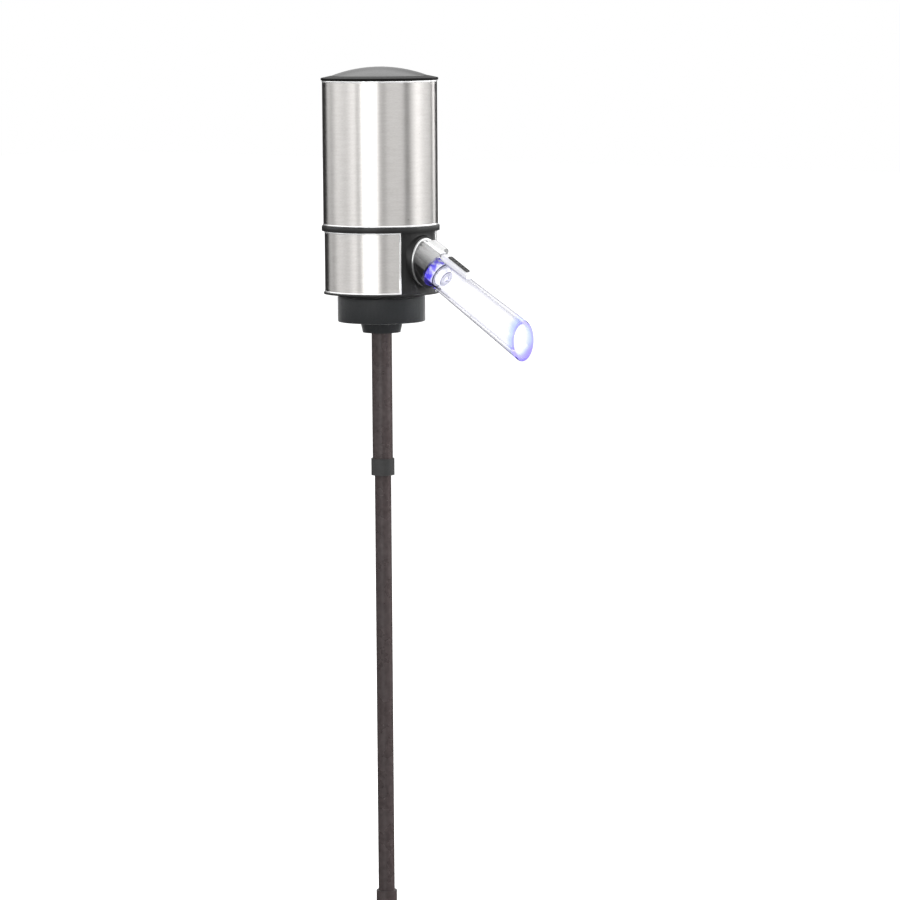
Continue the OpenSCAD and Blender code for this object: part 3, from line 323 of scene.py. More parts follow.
def spread(tree, source, low, high):
    """Stretch a noise over low to high."""
    values = {"From Min": NOISE_LOW, "From Max": NOISE_HIGH, "To Min": low, "To Max": high}
    return add_node(tree, "MapRange", {"Value": source, **values}).outputs["Result"]

def cloud(tree, per_mm, low, high, detail=3.0):
    """A value that wanders over the surface from low to high."""
    return spread(tree, noise(tree, object_point(tree), per_mm, detail), low, high)

def bump(tree, shader, source, depth_mm, strength=0.3):
    """Raise the surface by a height socket, as fine relief."""
    node = add_node(tree, "Bump", {"Strength": strength, "Distance": depth_mm * MM, "Height": source})
    wire(tree, node.outputs["Normal"], shader.inputs["Normal"])

def grained(name, dark, light, rough, metallic=0.0, per_mm=2.0, relief_mm=0.01, more=None):
    """A moulded, cast or ground finish with a fine grain, and more inputs by name."""
    tree, shader = start_finish(name, metallic)
    grain = noise(tree, object_point(tree), per_mm)
    colour = ramp(tree, grain, [(NOISE_LOW, dark), (NOISE_HIGH, light)])
    set_inputs(tree, shader, {"Base Color": colour, "Roughness": cloud(tree, per_mm / 4, *rough)})
    set_inputs(tree, shader, more or {})
    bump(tree, shader, grain, relief_mm)

# %% [markdown]
# ### Brushed steel
#
# The two sleeves are rolled sheet, brushed round and round. The brush leaves long level scratches, so
# reflections stay sharp from side to side and smear up and down. Two things give that here: a noise
# stretched along the scratch, in angle and height rather than x, y and z, and the shader's anisotropy,
# turned so that the smear is upright.

# %% Brushed steel
SCRATCH_TURN = 4 * MM
FINE_SHARE = 0.6

def round_and_up(tree):
    """A point whose x is the angle round the upright axis and whose z is the height."""
    place = split_point(tree)
    angle = math_node(tree, "ARCTAN2", place["Y"], place["X"])
    values = {"X": math_node(tree, "MULTIPLY", angle, SCRATCH_TURN), "Z": place["Z"]}
    return add_node(tree, "CombineXYZ", values).outputs["Vector"]

tree, shader = start_finish("brushed_steel", 1.0)
streak = round_and_up(tree)
fine = noise(tree, streak, 5.0, detail=4.0)
broad = noise(tree, streak, 0.9, detail=2.0)
fine_part = math_node(tree, "MULTIPLY", fine, FINE_SHARE)
both = math_node(tree, "ADD", fine_part, math_node(tree, "MULTIPLY", broad, 1 - FINE_SHARE))
colour = ramp(tree, both, [(0.35, grey(0.60, 0.035)), (0.65, grey(0.72, 0.025))])
tangent = tree.nodes.new("ShaderNodeTangent")
tangent.direction_type = "RADIAL"
tangent.axis = "Z"
set_inputs(tree, shader, {
    "Base Color": colour, "Roughness": spread(tree, both, 0.27, 0.36), "Anisotropic": 0.9,
    "Anisotropic Rotation": 0.25, "Tangent": tangent.outputs["Tangent"]})
bump(tree, shader, fine, 0.01, 0.15)
print("brushed steel ready")

# %% [markdown]
# ### Clear acrylic, lit from its root
#
# The tube is clear, and lamps behind its root send blue light down the wall. The light leaves at the
# root's cone, in streaks where the moulding bends it, and at the cut mouth. Clear plastic shows it as
# colour in the wall, so the tint changes along the tube, and a weak glow is added in the same two
# places. Dot products give the distance along the flow and the height above the spout's axis: the glow
# fades along the first and stays below the rib on the second. The distance to the upright mouth plane
# drives the mouth. A wall seen edge-on is thicker, so the tint also deepens there. The wall bends light
# very little, which keeps the thin tube clear against a pale room. A coat gives it its highlights, and
# fades at the lit mouth.

# %% Find the spout's axis
flow = Vector(joints["tube_pull"]["axis"]).normalized()
slope = math.asin(-flow.z)
ring_low, ring_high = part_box("barrel_ring")
ring_half = (ring_high.x - ring_low.x) / 2
spout_root = Vector((ring_low.x, 0, (ring_low.z + ring_high.z) / 2 + ring_half * math.tan(slope)))
spout_top = Vector((math.sin(slope), 0, math.cos(slope)))
mouth_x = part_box("aerator_tube")[1].x
barrel_end = max((v.co - spout_root).dot(flow) for v in nodes["spout_barrel"].data.vertices)
print("spout root", [round(v / MM, 2) for v in spout_root])
print("barrel ends at", round(barrel_end / MM, 2), "mm")

# %% Clear acrylic
ROOT_GLOW = 4.2 * MM
GLOW_TOP = 5.5 * MM
GLOW_SIDE = 1.5 * MM
MOUTH_GLOW = 6.0 * MM
ACRYLIC_IOR = 1.06
CLEAR = (0.97, 0.97, 1.0, 1.0)
EDGE_TINT = (0.38, 0.38, 0.48, 1.0)
PALE_VIOLET = (0.80, 0.80, 1.0, 1.0)
DEEP_VIOLET = (0.30, 0.25, 0.96, 1.0)
LIP_BLUE = (0.42, 0.55, 1.0, 1.0)
LIP_EDGE = (0.36, 0.36, 1.0, 1.0)
LIP_LOW = 4.0 * MM
GLOW_VIOLET = (0.22, 0.16, 1.0, 1.0)
GLOW_STRENGTH = 0.10
LIP_STRENGTH = 0.35

def along_axis(tree, axis, start):
    """How far the surface point lies along an axis from a start point, in metres."""
    node = tree.nodes.new("ShaderNodeVectorMath")
    node.operation = "DOT_PRODUCT"
    node.inputs[1].default_value = axis
    wire(tree, object_point(tree), node.inputs[0])
    return math_node(tree, "SUBTRACT", node.outputs["Value"], start.dot(axis))

def tinted(tree, first, second, source, stops):
    """Mix two colours by a ramp over a socket."""
    return mix_colours(tree, first, second, ramp(tree, source, stops))

tree, shader = start_finish("clear_acrylic")
along = along_axis(tree, flow, spout_root + flow * barrel_end)
above = along_axis(tree, spout_top, spout_root)
below_rib = ramp(tree, share_between(tree, above, GLOW_TOP, GLOW_SIDE), [(0.0, 0.0), (1.0, 1.0)])
root = math_node(tree, "MULTIPLY", share_between(tree, along, ROOT_GLOW, 0.0), below_rib)
streaks = cloud(tree, 0.35, 0.0, 1.0, detail=1.0)
lit_root = ramp(tree, math_node(tree, "MULTIPLY", root, streaks), [(0.15, 0.0), (0.7, 1.0)])
mouth = share_between(tree, split_point(tree)["X"], mouth_x - MOUTH_GLOW, mouth_x)
edge = add_node(tree, "LayerWeight", {"Blend": 0.35}).outputs["Facing"]
rim = tinted(tree, EDGE_TINT, LIP_EDGE, mouth, [(0.0, 0.0), (0.3, 1.0)])
wall = tinted(tree, CLEAR, rim, edge, [(0.36, 0.0), (0.72, 1.0)])
cone = tinted(tree, wall, PALE_VIOLET, root, [(0.0, 0.0), (0.5, 1.0)])
cone = mix_colours(tree, cone, DEEP_VIOLET, lit_root)
lip = tinted(tree, cone, LIP_BLUE, mouth, [(0.3, 0.0), (0.75, 0.8), (0.9, 1.0)])
lip = tinted(tree, lip, DEEP_VIOLET, mouth, [(0.93, 0.0), (1.0, 0.9)])
under = ramp(tree, share_between(tree, above, 0.0, -LIP_LOW), [(0.2, 0.0), (1.0, 1.0)])
under = math_node(tree, "MULTIPLY", under, ramp(tree, mouth, [(0.6, 0.0), (0.85, 1.0)]))
lip = mix_colours(tree, lip, DEEP_VIOLET, under)
root_glow = math_node(tree, "MULTIPLY", lit_root, GLOW_STRENGTH)
lip_glow = math_node(tree, "MULTIPLY", ramp(tree, mouth, [(0.75, 0.0), (0.95, 1.0)]), LIP_STRENGTH)
set_inputs(tree, shader, {
    "Base Color": lip, "Roughness": cloud(tree, 0.5, 0.01, 0.05),
    "Transmission Weight": 1.0, "IOR": ACRYLIC_IOR,
    "Coat Weight": ramp(tree, mouth, [(0.6, 1.0), (0.9, 0.15)]), "Coat Roughness": 0.04,
    "Emission Color": GLOW_VIOLET, "Emission Strength": math_node(tree, "MAXIMUM", root_glow, lip_glow)})
print("clear acrylic ready")

# %% [markdown]
# ### Milky rib
#
# The rib on top of the tube is the same plastic, but thick and full of light, so it looks white, with a
# violet line of painted shade along its foot, where it meets the tube. A finish that is only partly
# see-through gives that, and the height above the spout's axis draws the line.

# %% Milky rib
# Painted shade along the rib's foot, where it meets the tube
RIB_FOOT_PAINTED_SHADE = (0.42, 0.42, 0.62, 1.0)
RIB_WHITE = (0.93, 0.93, 0.96, 1.0)
FOOT_LOW, FOOT_HIGH = 6.2 * MM, 6.9 * MM

tree, shader = start_finish("milky_rib")
share = share_between(tree, along_axis(tree, spout_top, spout_root), FOOT_LOW, FOOT_HIGH)
set_inputs(tree, shader, {
    "Base Color": ramp(tree, share, [(0.3, RIB_FOOT_PAINTED_SHADE), (1.0, RIB_WHITE)]),
    "Roughness": cloud(tree, 0.8, 0.08, 0.2), "Transmission Weight": 0.35, "IOR": 1.25})
print("milky rib ready")

# %% [markdown]
# ### Frosted nozzle
#
# The nozzle inside the tube's root is frosted, so it catches the lamps' light in blue patches instead of
# letting it through. Its front is plain white, and a weak glow over the whole nozzle is painted light that
# lifts it out of the tube's shade. Thin dark bands at the ends of its land and its tip are painted shade.

# %% Frosted nozzle
FROST_WHITE = (0.86, 0.86, 0.92, 1.0)
FROST_BLUE = (0.20, 0.16, 0.86, 1.0)
# Painted shade for thin bands at the ends of the land and the tip
RIM_PAINTED_SHADE = (0.02, 0.02, 0.07, 1.0)
LAND_RIM = 0.7 * MM
TIP_RIM = 0.3 * MM
# Painted light: a weak glow in the nozzle's own colour, which lifts it out of shade
FROST_PAINTED_LIGHT = 0.35
LAND_LEAST = 5 * MM

nozzle_offsets = [v.co - spout_root for v in nodes["spout_nozzle"].data.vertices]
nozzle_tip = max(offset.dot(flow) for offset in nozzle_offsets)
nozzle_land = max(offset.dot(flow) for offset in nozzle_offsets if offset.cross(flow).length > LAND_LEAST)

tree, shader = start_finish("frosted_nozzle")
along = along_axis(tree, flow, spout_root)
patches = cloud(tree, 0.4, 0.0, 1.0, detail=1.0)
behind = share_between(tree, along, nozzle_land, barrel_end)
lit = math_node(tree, "MULTIPLY", patches, ramp(tree, behind, [(0.1, 0.0), (0.6, 1.0)]))
colour = tinted(tree, FROST_WHITE, FROST_BLUE, lit, [(0.25, 0.0), (0.55, 1.0)])
# Paint a band of shade at the end of the land and of the tip
for rim_end, rim in ((nozzle_land, LAND_RIM), (nozzle_tip, TIP_RIM)):
    off = math_node(tree, "ABSOLUTE", math_node(tree, "SUBTRACT", along, rim_end - rim / 2))
    off = math_node(tree, "DIVIDE", off, rim)
    colour = tinted(tree, RIM_PAINTED_SHADE, colour, off, [(0.45, 0.0), (0.6, 1.0)])
set_inputs(tree, shader, {
    "Base Color": colour, "Roughness": cloud(tree, 2.0, 0.3, 0.45),
    "Emission Color": colour, "Emission Strength": FROST_PAINTED_LIGHT})
print("nozzle land ends at", round(nozzle_land / MM, 2), "tip at", round(nozzle_tip / MM, 2), "mm")

# %% [markdown]
# ### Plated metal of the spout, with painted shade
#
# The barrel is plated, and its colour carries painted shade and a painted highlight: the height above the
# spout's axis drives it, so the top shines in soft grey, the highest part is near white and the lower half
# goes dark. The ring at its root has a satin plating, which is part dull, with the same painted shade:
# light on top and darker below.

# %% Plated metal with painted shade
# Painted shade and highlight by height: dark below the axis, soft grey above, near white at the very top
BARREL_PAINTED_SHADE = [(0.0, 0.10), (0.45, 0.04), (0.60, 0.035), (0.66, 0.06), (0.74, 0.24), (0.86, 0.55), (0.97, 0.72),
           (0.98, 0.98), (1.0, 0.98)]
PAINTED_SHADE_REACH = 9.0 * MM
PLATED_SHARE = 0.8
# Painted shade on the ring: darker below, lighter on top
RING_PAINTED_SHADE = [(0.0, 0.20), (0.40, 0.26), (0.62, 0.36), (0.80, 0.62), (1.0, 0.72)]
RING_SHARE = 0.6

def painted_shade_metal(name, tones, plated_share):
    """A metal with painted shade, in those tones from the spout's underside to its top; the share that isn't
    plated is dull.
    """
    tree, shader = start_finish(name, plated_share)
    share = share_between(tree, along_axis(tree, spout_top, spout_root), -PAINTED_SHADE_REACH, PAINTED_SHADE_REACH)
    share = math_node(tree, "ADD", share, cloud(tree, 1.0, -0.01, 0.01))
    set_inputs(tree, shader, {
        "Base Color": ramp(tree, share, tones), "Roughness": cloud(tree, 0.5, 0.16, 0.24)})

painted_shade_metal("chrome", BARREL_PAINTED_SHADE, PLATED_SHARE)
painted_shade_metal("ring_painted_shade", RING_PAINTED_SHADE, RING_SHARE)
print("plated metal ready")

# %% [markdown]
# ### Mouldings, rubber and plain metal
#
# The rest are everyday finishes, and differ only in colour, shine and grain, so one helper makes them.
# Rubber also has a soft sheen at its edges, and the bezel's outer edge is a darker black that hardly shines,
# as painted shade.

# %% The other finishes
grained("black_plastic", grey(0.010), grey(0.016), (0.30, 0.42), per_mm=4.0, relief_mm=0.006,
        more={"Specular IOR Level": 0.25})
# Painted shade: the bezel's outer edge, darker and duller than the black plastic
grained("bezel_edge_painted_shade", grey(0.003), grey(0.006), (0.40, 0.52), per_mm=4.0, relief_mm=0.006,
        more={"Specular IOR Level": 0.05})
grained("chassis_plastic", grey(0.018), grey(0.03), (0.45, 0.6), per_mm=4.0)
grained("collar_rubber", grey(0.012, -0.08), grey(0.020, -0.08), (0.45, 0.6), per_mm=5.0, relief_mm=0.015,
        more={"Specular IOR Level": 0.25, "Sheen Weight": 0.7, "Sheen Roughness": 0.3})
grained("seal_rubber", grey(0.012), grey(0.022), (0.5, 0.65), per_mm=5.0)
grained("clear_silicone", grey(0.55, -0.03), grey(0.66, -0.03), (0.35, 0.5), per_mm=1.0)
grained("button_metal", grey(0.30), grey(0.36), (0.12, 0.2), metallic=1.0, per_mm=2.0, relief_mm=0.002)
# Part white and dull, so the beads read brighter: polish with a painted highlight
grained("polished_steel", grey(0.88), grey(0.95), (0.14, 0.22), metallic=0.6, per_mm=3.0, relief_mm=0.002)
grained("intake_plastic", grey(0.03), grey(0.06), (0.4, 0.55), per_mm=3.0)
grained("board_green", (0.012, 0.08, 0.04, 1), (0.02, 0.13, 0.06, 1), (0.25, 0.4), per_mm=1.0)
grained("lead_red", (0.35, 0.012, 0.012, 1), (0.45, 0.02, 0.02, 1), (0.35, 0.5))
grained("lead_black", grey(0.01), grey(0.02), (0.35, 0.5))
grained("pump_plastic", grey(0.62, 0.05), grey(0.72, 0.05), (0.4, 0.55))
grained("gear_plastic", grey(0.68, 0.08), grey(0.78, 0.08), (0.35, 0.5))
grained("screw_steel", grey(0.42), grey(0.55), (0.25, 0.4), metallic=1.0)
grained("shaft_steel", grey(0.52), grey(0.62), (0.15, 0.3), metallic=1.0, per_mm=3.0)
grained("bush_bronze", (0.42, 0.24, 0.09, 1), (0.58, 0.36, 0.15, 1), (0.3, 0.45), metallic=1.0)
grained("motor_steel", grey(0.5), grey(0.62), (0.22, 0.36), metallic=1.0)
grained("magnet_ferrite", grey(0.04), grey(0.07), (0.6, 0.75), per_mm=6.0)
grained("winding_copper", (0.42, 0.15, 0.05, 1), (0.6, 0.26, 0.1, 1), (0.25, 0.4), metallic=1.0, per_mm=3.0)
grained("contact_metal", grey(0.6, 0.03), grey(0.72, 0.03), (0.2, 0.35), metallic=1.0)
grained("plunger_red", (0.4, 0.03, 0.025, 1), (0.5, 0.05, 0.04, 1), (0.3, 0.45))
grained("dip_plastic", (0.03, 0.022, 0.022, 1), (0.045, 0.034, 0.034, 1), (0.22, 0.34), per_mm=0.5)
grained("led_blue", (0.2, 0.16, 0.9, 1), (0.3, 0.26, 1.0, 1), (0.2, 0.3),
        more={"Emission Color": (0.25, 0.18, 1.0, 1.0), "Emission Strength": 6.0})
print(len(finishes), "finishes")

# %% [markdown]
# ### Battery cells
#
# A dry cell wears a printed jacket between two bare steel ends. The jacket here is plain: blue, with a
# copper part towards the plus end. Every second cell stands upside down, so the height is mirrored in
# every second sixth of the turn.

# %% Battery cells
CELL_BLUE = (0.03, 0.11, 0.18, 1.0)
CELL_COPPER = (0.50, 0.22, 0.09, 1.0)
CELL_STEEL = grey(0.62)
# From the minus end: where each part of the jacket starts, its colour and how metallic it is
CELL_BANDS = [(0.0, CELL_STEEL, 1.0), (0.025, CELL_BLUE, 0.0), (0.66, CELL_COPPER, 0.6),
              (0.955, CELL_STEEL, 1.0)]
CELLS = 6

def stepped(tree, source, stops):
    """A ramp that changes at once at each stop."""
    colours = ramp(tree, source, stops)
    colours.node.color_ramp.interpolation = "CONSTANT"
    return colours

tree, shader = start_finish("cell_jacket")
cell_low, cell_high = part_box("battery_cells")
place = split_point(tree)
tall = share_between(tree, place["Z"], cell_low.z, cell_high.z)
turned_by = math_node(tree, "ARCTAN2", place["Y"], place["X"])
sectors = math_node(tree, "DIVIDE", turned_by, 2 * math.pi / CELLS)
# The first cell lies across the x axis, so sectors start half a cell before it; none is below zero
sector = math_node(tree, "FLOOR", math_node(tree, "ADD", sectors, CELLS + 0.5))
upside_down = math_node(tree, "MODULO", sector, 2.0)
from_minus = math_node(tree, "ABSOLUTE", math_node(tree, "SUBTRACT", tall, upside_down))
set_inputs(tree, shader, {
    "Base Color": stepped(tree, from_minus, [(start, colour) for start, colour, _ in CELL_BANDS]),
    "Metallic": stepped(tree, from_minus, [(start, metal) for start, _, metal in CELL_BANDS]),
    "Roughness": cloud(tree, 1.0, 0.24, 0.36)})
print("battery cells ready")

# %% [markdown]
# ### Finishes on the solids
#
# The record names a finish for each solid. The nozzle is the one exception: it is moulded from the tube's
# plastic, but its surface is frosted.

# %% Give the solids their finishes
OWN_FINISH = {"spout_nozzle": "frosted_nozzle"}
for name, slot in slots.items():
    solid = nodes[name]
    solid.data.materials.clear()
    solid.data.materials.append(finishes[OWN_FINISH.get(name, slot)])
print("finished", len(slots), "solids")

# %% [markdown]
# ## A way to make new pieces
#
# Nearly everything here is turned, rolled, bent or wound, so one idea makes it all: a row of closed
# loops of points, with a skin between each loop and the next. A turned ring repeats its outline round
# an axis, a coil repeats a small circle along a helix. Corners of an outline are rounded where it is
# drawn, so the mesh needs no bevel later, and edges sharper than a set angle stay crisp. Lengths in
# capitals are in millimetres from here on.

# %% Skin, outline and dressing helpers
SHARP = math.radians(32)
CORNER_STEPS = 5
ROUND_STEPS = 180
SAME_POINT = 0.0005
NEAR = 0.1

def skin(name, loops, endless=False):
    """Join closed loops of points in mm into one surface; a chain that isn't endless gets end caps."""
    shape = bmesh.new()
    grid = [[shape.verts.new(point * MM) for point in loop] for loop in loops]
    for first, second in zip(grid, grid[1:] + (grid[:1] if endless else [])):
        for i in range(len(first)):
            j = (i + 1) % len(first)
            shape.faces.new((first[i], first[j], second[j], second[i]))
    if not endless:
        shape.faces.new(grid[0][::-1])
        shape.faces.new(grid[-1])
    bmesh.ops.remove_doubles(shape, verts=shape.verts, dist=SAME_POINT * MM)
    bmesh.ops.delete(shape, geom=[edge for edge in shape.edges if not edge.link_faces], context="EDGES")
    bmesh.ops.recalc_face_normals(shape, faces=shape.faces)
    for edge in shape.edges:
        edge.smooth = edge.calc_face_angle(0.0) < SHARP
    for face in shape.faces:
        face.smooth = True
    mesh = bpy.data.meshes.new(name)
    shape.to_mesh(mesh)
    shape.free()
    return link(bpy.data.objects.new(name, mesh))

def rounded(corners):
    """A closed outline from (across, up, setback) corners; a setback turns the corner into a curve."""
    points = []
    for index, (x, y, setback) in enumerate(corners):
        corner = Vector((x, y))
        if setback == 0:
            points.append(corner)
            continue
        before = Vector(corners[index - 1][:2])
        after = Vector(corners[(index + 1) % len(corners)][:2])
        start = corner + (before - corner).normalized() * setback
        end = corner + (after - corner).normalized() * setback
        for step in range(CORNER_STEPS + 1):
            t = step / CORNER_STEPS
            points.append(start * (1 - t) ** 2 + corner * 2 * t * (1 - t) + end * t ** 2)
    return points

def circle(count):
    """That many equal steps of angle, all round."""
    return [2 * math.pi * i / count for i in range(count)]

def turned(name, outline):
    """Turn a closed outline of (radius, height) points about the upright axis."""
    return skin(name, [[Vector((p.x * math.cos(a), p.x * math.sin(a), p.y)) for p in outline]
                       for a in circle(ROUND_STEPS)], endless=True)

def reach(name):
    """A solid's least and greatest radius about the upright axis and its lowest and highest z, in mm."""
    points = [v.co / MM for v in nodes[name].data.vertices]
    radii = [math.hypot(p.x, p.y) for p in points]
    heights = [p.z for p in points]
    return min(radii), max(radii), min(heights), max(heights)

def dress(piece, node, *finish_names):
    """Let a new piece stand for a solid and move with its body, and give it finishes, the solid's own by
    default.
    """
    for finish_name in finish_names or [slots[node]]:
        piece.data.materials.append(finishes[finish_name])
    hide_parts(node)
    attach(piece, nodes[node]["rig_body"])
    print(piece.name, "has", len(piece.data.polygons), "faces and stands for", node)
    return piece

# %% [markdown]
# ## The steel sleeves
#
# The upper sleeve is a closed tube. The lower one is a strip rolled into a C, open in front where the
# black moulding holds the spout. Both have a narrow polished bead along every edge, which is the bright
# line that frames the steel; the bead's finish is part white and dull, a painted highlight on top of its
# polish. The sheet is a grid in angle and height, pushed out by a half-round rule near its edges, so the
# bead turns the C's corners by itself. The upper sleeve's top edge is let down a little, which leaves a
# dark line of the bezel above it.

# %% Roll the sleeves
BEAD_WIDTH = 0.85
BEAD_HEIGHT = 0.16
BEAD_STEPS = 7
SHEET_RISES = 4
SHEET_TURNS = 150
BEZEL_DROP = 0.45

def bead(distance):
    """How far the sheet stands out at that distance from its nearest edge."""
    if distance >= BEAD_WIDTH:
        return 0.0
    across = 2 * distance / BEAD_WIDTH - 1
    half_round = math.sqrt(1 - across * across)
    return BEAD_HEIGHT * (2 * half_round - 1 if across < 0 else half_round)

def sheet_stations(length, middle_steps):
    """Places along a sheet's side, close together at both edges."""
    near = [BEAD_WIDTH * (1 - math.cos(math.pi * i / (2 * BEAD_STEPS))) for i in range(BEAD_STEPS)]
    flat = [BEAD_WIDTH + (length - 2 * BEAD_WIDTH) * i / middle_steps for i in range(middle_steps + 1)]
    return near + flat + [length - place for place in near[::-1]]

def roll_sleeve(node, open_half=0.0, drop=0.0):
    """A sleeve with beaded edges, open over an angle on both sides of the spout, its top edge let down."""
    inner, outer, low, high = reach(node)
    high -= drop
    tall = high - low
    heights = sheet_stations(tall, SHEET_RISES)
    sweep = 2 * math.pi - 2 * open_half
    length = outer * sweep
    if open_half:
        rounds = sheet_stations(length, SHEET_TURNS)
    else:
        rounds = [length * i / ROUND_STEPS for i in range(ROUND_STEPS)]
    loops = []
    for place in rounds:
        angle = open_half + place / outer
        side_edge = min(place, length - place) if open_half else length
        line = [(outer + bead(min(side_edge, h, tall - h)), low + h) for h in heights]
        line += [(inner, high), (inner, low)]
        loops.append([Vector((r * math.cos(angle), r * math.sin(angle), z)) for r, z in line])
    piece = skin(node + "_sheet", loops, endless=not open_half)
    dress(piece, node, "brushed_steel", "polished_steel")
    # Bead faces take the polished finish with its painted highlight
    for face in piece.data.polygons:
        spot = face.center / MM
        away = (math.atan2(spot.y, spot.x) % (2 * math.pi) - open_half) * outer
        edge_gap = min(spot.z - low, high - spot.z, *((away, length - away) if open_half else ()))
        face.material_index = int(edge_gap < BEAD_WIDTH)

bay_half = min(abs(math.atan2(v.co.y, v.co.x)) for v in nodes["lower_sleeve"].data.vertices)
roll_sleeve("upper_sleeve", drop=BEZEL_DROP)
roll_sleeve("lower_sleeve", bay_half)
print("the C is open over", round(math.degrees(2 * bay_half), 1), "degrees")

# %% [markdown]
# ## The bezel
#
# A plain black ring closes the top of the sleeve round the button, with a skirt that goes down into the
# cap. It is turned from an outline whose top slopes up from a thin outer edge to the button, so the dome
# seems to start at the sleeve. The outer edge gets a darker, duller black as painted shade, and reads as a
# fine dark line.

# %% Turn the bezel
BEZEL_EDGE = 0.95

def ring_points(name):
    """A turned solid's (radius, height) points in mm."""
    return [(math.hypot(v.co.x, v.co.y) / MM, v.co.z / MM) for v in nodes[name].data.vertices]

inner, outer, low, high = reach("top_bezel")
skirt = max(r for r, z in ring_points("top_bezel") if z < low + NEAR)
ledge = min(z for r, z in ring_points("top_bezel") if r > outer - NEAR) - BEZEL_DROP
shoulder = ledge + BEZEL_EDGE
bezel_outline = [(inner, low, 0.15), (skirt, low, 0.15), (skirt, ledge, 0), (outer, ledge, 0.15),
                 (outer, shoulder, 0.3), (inner, high, 0.2)]
bezel = dress(turned("bezel_ring", rounded(bezel_outline)), "top_bezel", "black_plastic", "bezel_edge_painted_shade")
# Faces at the outer edge take the painted shade finish
for face in bezel.data.polygons:
    spot = face.center / MM
    face.material_index = int(math.hypot(spot.x, spot.y) > outer - NEAR)

# %% [markdown]
# ## The button
#
# The button is one drawn metal cap: a shallow dome, a rim that turns down into the bezel, and a stem
# that reaches the switch. The dome is part of a large sphere, found from its height and width, and it is
# turned with enough points that its skyline stays smooth.

# %% Turn the button
DOME_STEPS = 28
RIM_SOFT = 0.5
WELL_CLEAR, WELL_INSIDE = 1, 5
GROOVE_LEAST, GROOVE_MOST = 0.2, 0.8
button_points = ring_points("power_button")
inner, outer, low, apex = reach("power_button")
rim_z = max(z for r, z in button_points if r > outer - NEAR)
skirt_z = min(z for r, z in button_points if r > outer - NEAR)
skirt_inner = min(r for r, z in button_points if z < skirt_z + NEAR and r > outer / 2)
roof_z = max(z for r, z in button_points if abs(r - skirt_inner) < NEAR and z < rim_z)
well_r = max(r for r, z in button_points
             if roof_z + WELL_CLEAR < z < apex - WELL_CLEAR and r < skirt_inner - WELL_INSIDE)
well_z = max(z for r, z in button_points if abs(r - well_r) < NEAR)
stem_r = max(r for r, z in button_points if z < low + NEAR)
groove = [round(z, 2) for r, z in button_points if stem_r - GROOVE_MOST < r < stem_r - GROOVE_LEAST]
groove_low, groove_high = min(groove), max(groove)
groove_r = min(r for r, z in button_points if groove_low - NEAR < z < groove_high + NEAR)
dome_r = ((apex - rim_z) ** 2 + outer ** 2) / (2 * (apex - rim_z))
dome_start = math.asin((outer - RIM_SOFT) / dome_r)
dome_angles = [dome_start * (1 - i / DOME_STEPS) for i in range(DOME_STEPS + 1)]
dome = [(dome_r * math.sin(a), apex - dome_r + dome_r * math.cos(a), 0) for a in dome_angles]
under = [(0, low, 0), (stem_r, low, 0.3), (stem_r, groove_low, 0), (groove_r, groove_low, 0),
         (groove_r, groove_high, 0), (stem_r, groove_high, 0), (stem_r, well_z, 0.3), (well_r, well_z, 0.3),
         (well_r, roof_z, 0.2), (skirt_inner, roof_z, 0.3), (skirt_inner, skirt_z, 0.2),
         (outer, skirt_z, 0.2), (outer, rim_z, RIM_SOFT)]
dress(turned("button_cap", rounded(under + dome)), "power_button")
print("dome radius", round(dome_r, 1), "mm")

# %% [markdown]
# ## The chrome ring
#
# A bright half-round ring hides the joint between the barrel and the black moulding. The barrel slants
# and the moulding is upright, so the ring is an ellipse: the upright cut of a slanted cylinder. A small
# circle is carried along that ellipse.

# %% Bend the chrome ring
RING_STEPS = 120
RING_WIRE_STEPS = 14
RING_WIRE = 0.55
ring_middle = Vector(((ring_low.x + ring_high.x) / 2, 0, (ring_low.z + ring_high.z) / 2)) / MM
ring_reach = (ring_high.y - ring_low.y) / 2 / MM - RING_WIRE
ring_tall = (ring_high.z - ring_low.z) / 2 / MM - RING_WIRE - ring_half / MM * math.tan(slope)
ring_loops = []
for a in circle(RING_STEPS):
    outward = Vector((0, math.cos(a) / ring_reach, math.sin(a) / ring_tall)).normalized()
    centre = ring_middle + Vector((0, ring_reach * math.cos(a), ring_tall * math.sin(a)))
    ring_loops.append([centre + (outward * math.cos(t) + Vector((math.sin(t), 0, 0))) * RING_WIRE
                       for t in circle(RING_WIRE_STEPS)])
dress(skin("chrome_ring", ring_loops, endless=True), "barrel_ring", "ring_painted_shade")

# %% [markdown]
# ## The clear tube
#
# The tube's shank sits in the barrel, a cone leads to the long flared bore, and the mouth is cut upright
# so that the drink leaves clean. Each column of points follows the outside from root to mouth, goes
# round the lip, and comes back along the bore. The cut is found for each column from the mouth's plane,
# because a slanted tube meets an upright plane at another length all round. One more ring of points just
# before the lip keeps the long wall's shading straight.

# %% Measure the tube
AT_MOUTH = 0.05
# Both less than the wall's thickness
WALL_AT_CONE, WALL_AT_MOUTH = 0.7, 0.6
PAST_CONE = 1

def along_and_radius(point):
    """Distance along the spout's axis and from it, in mm."""
    offset = point - spout_root
    along = offset.dot(flow)
    return along / MM, (offset - flow * along).length / MM

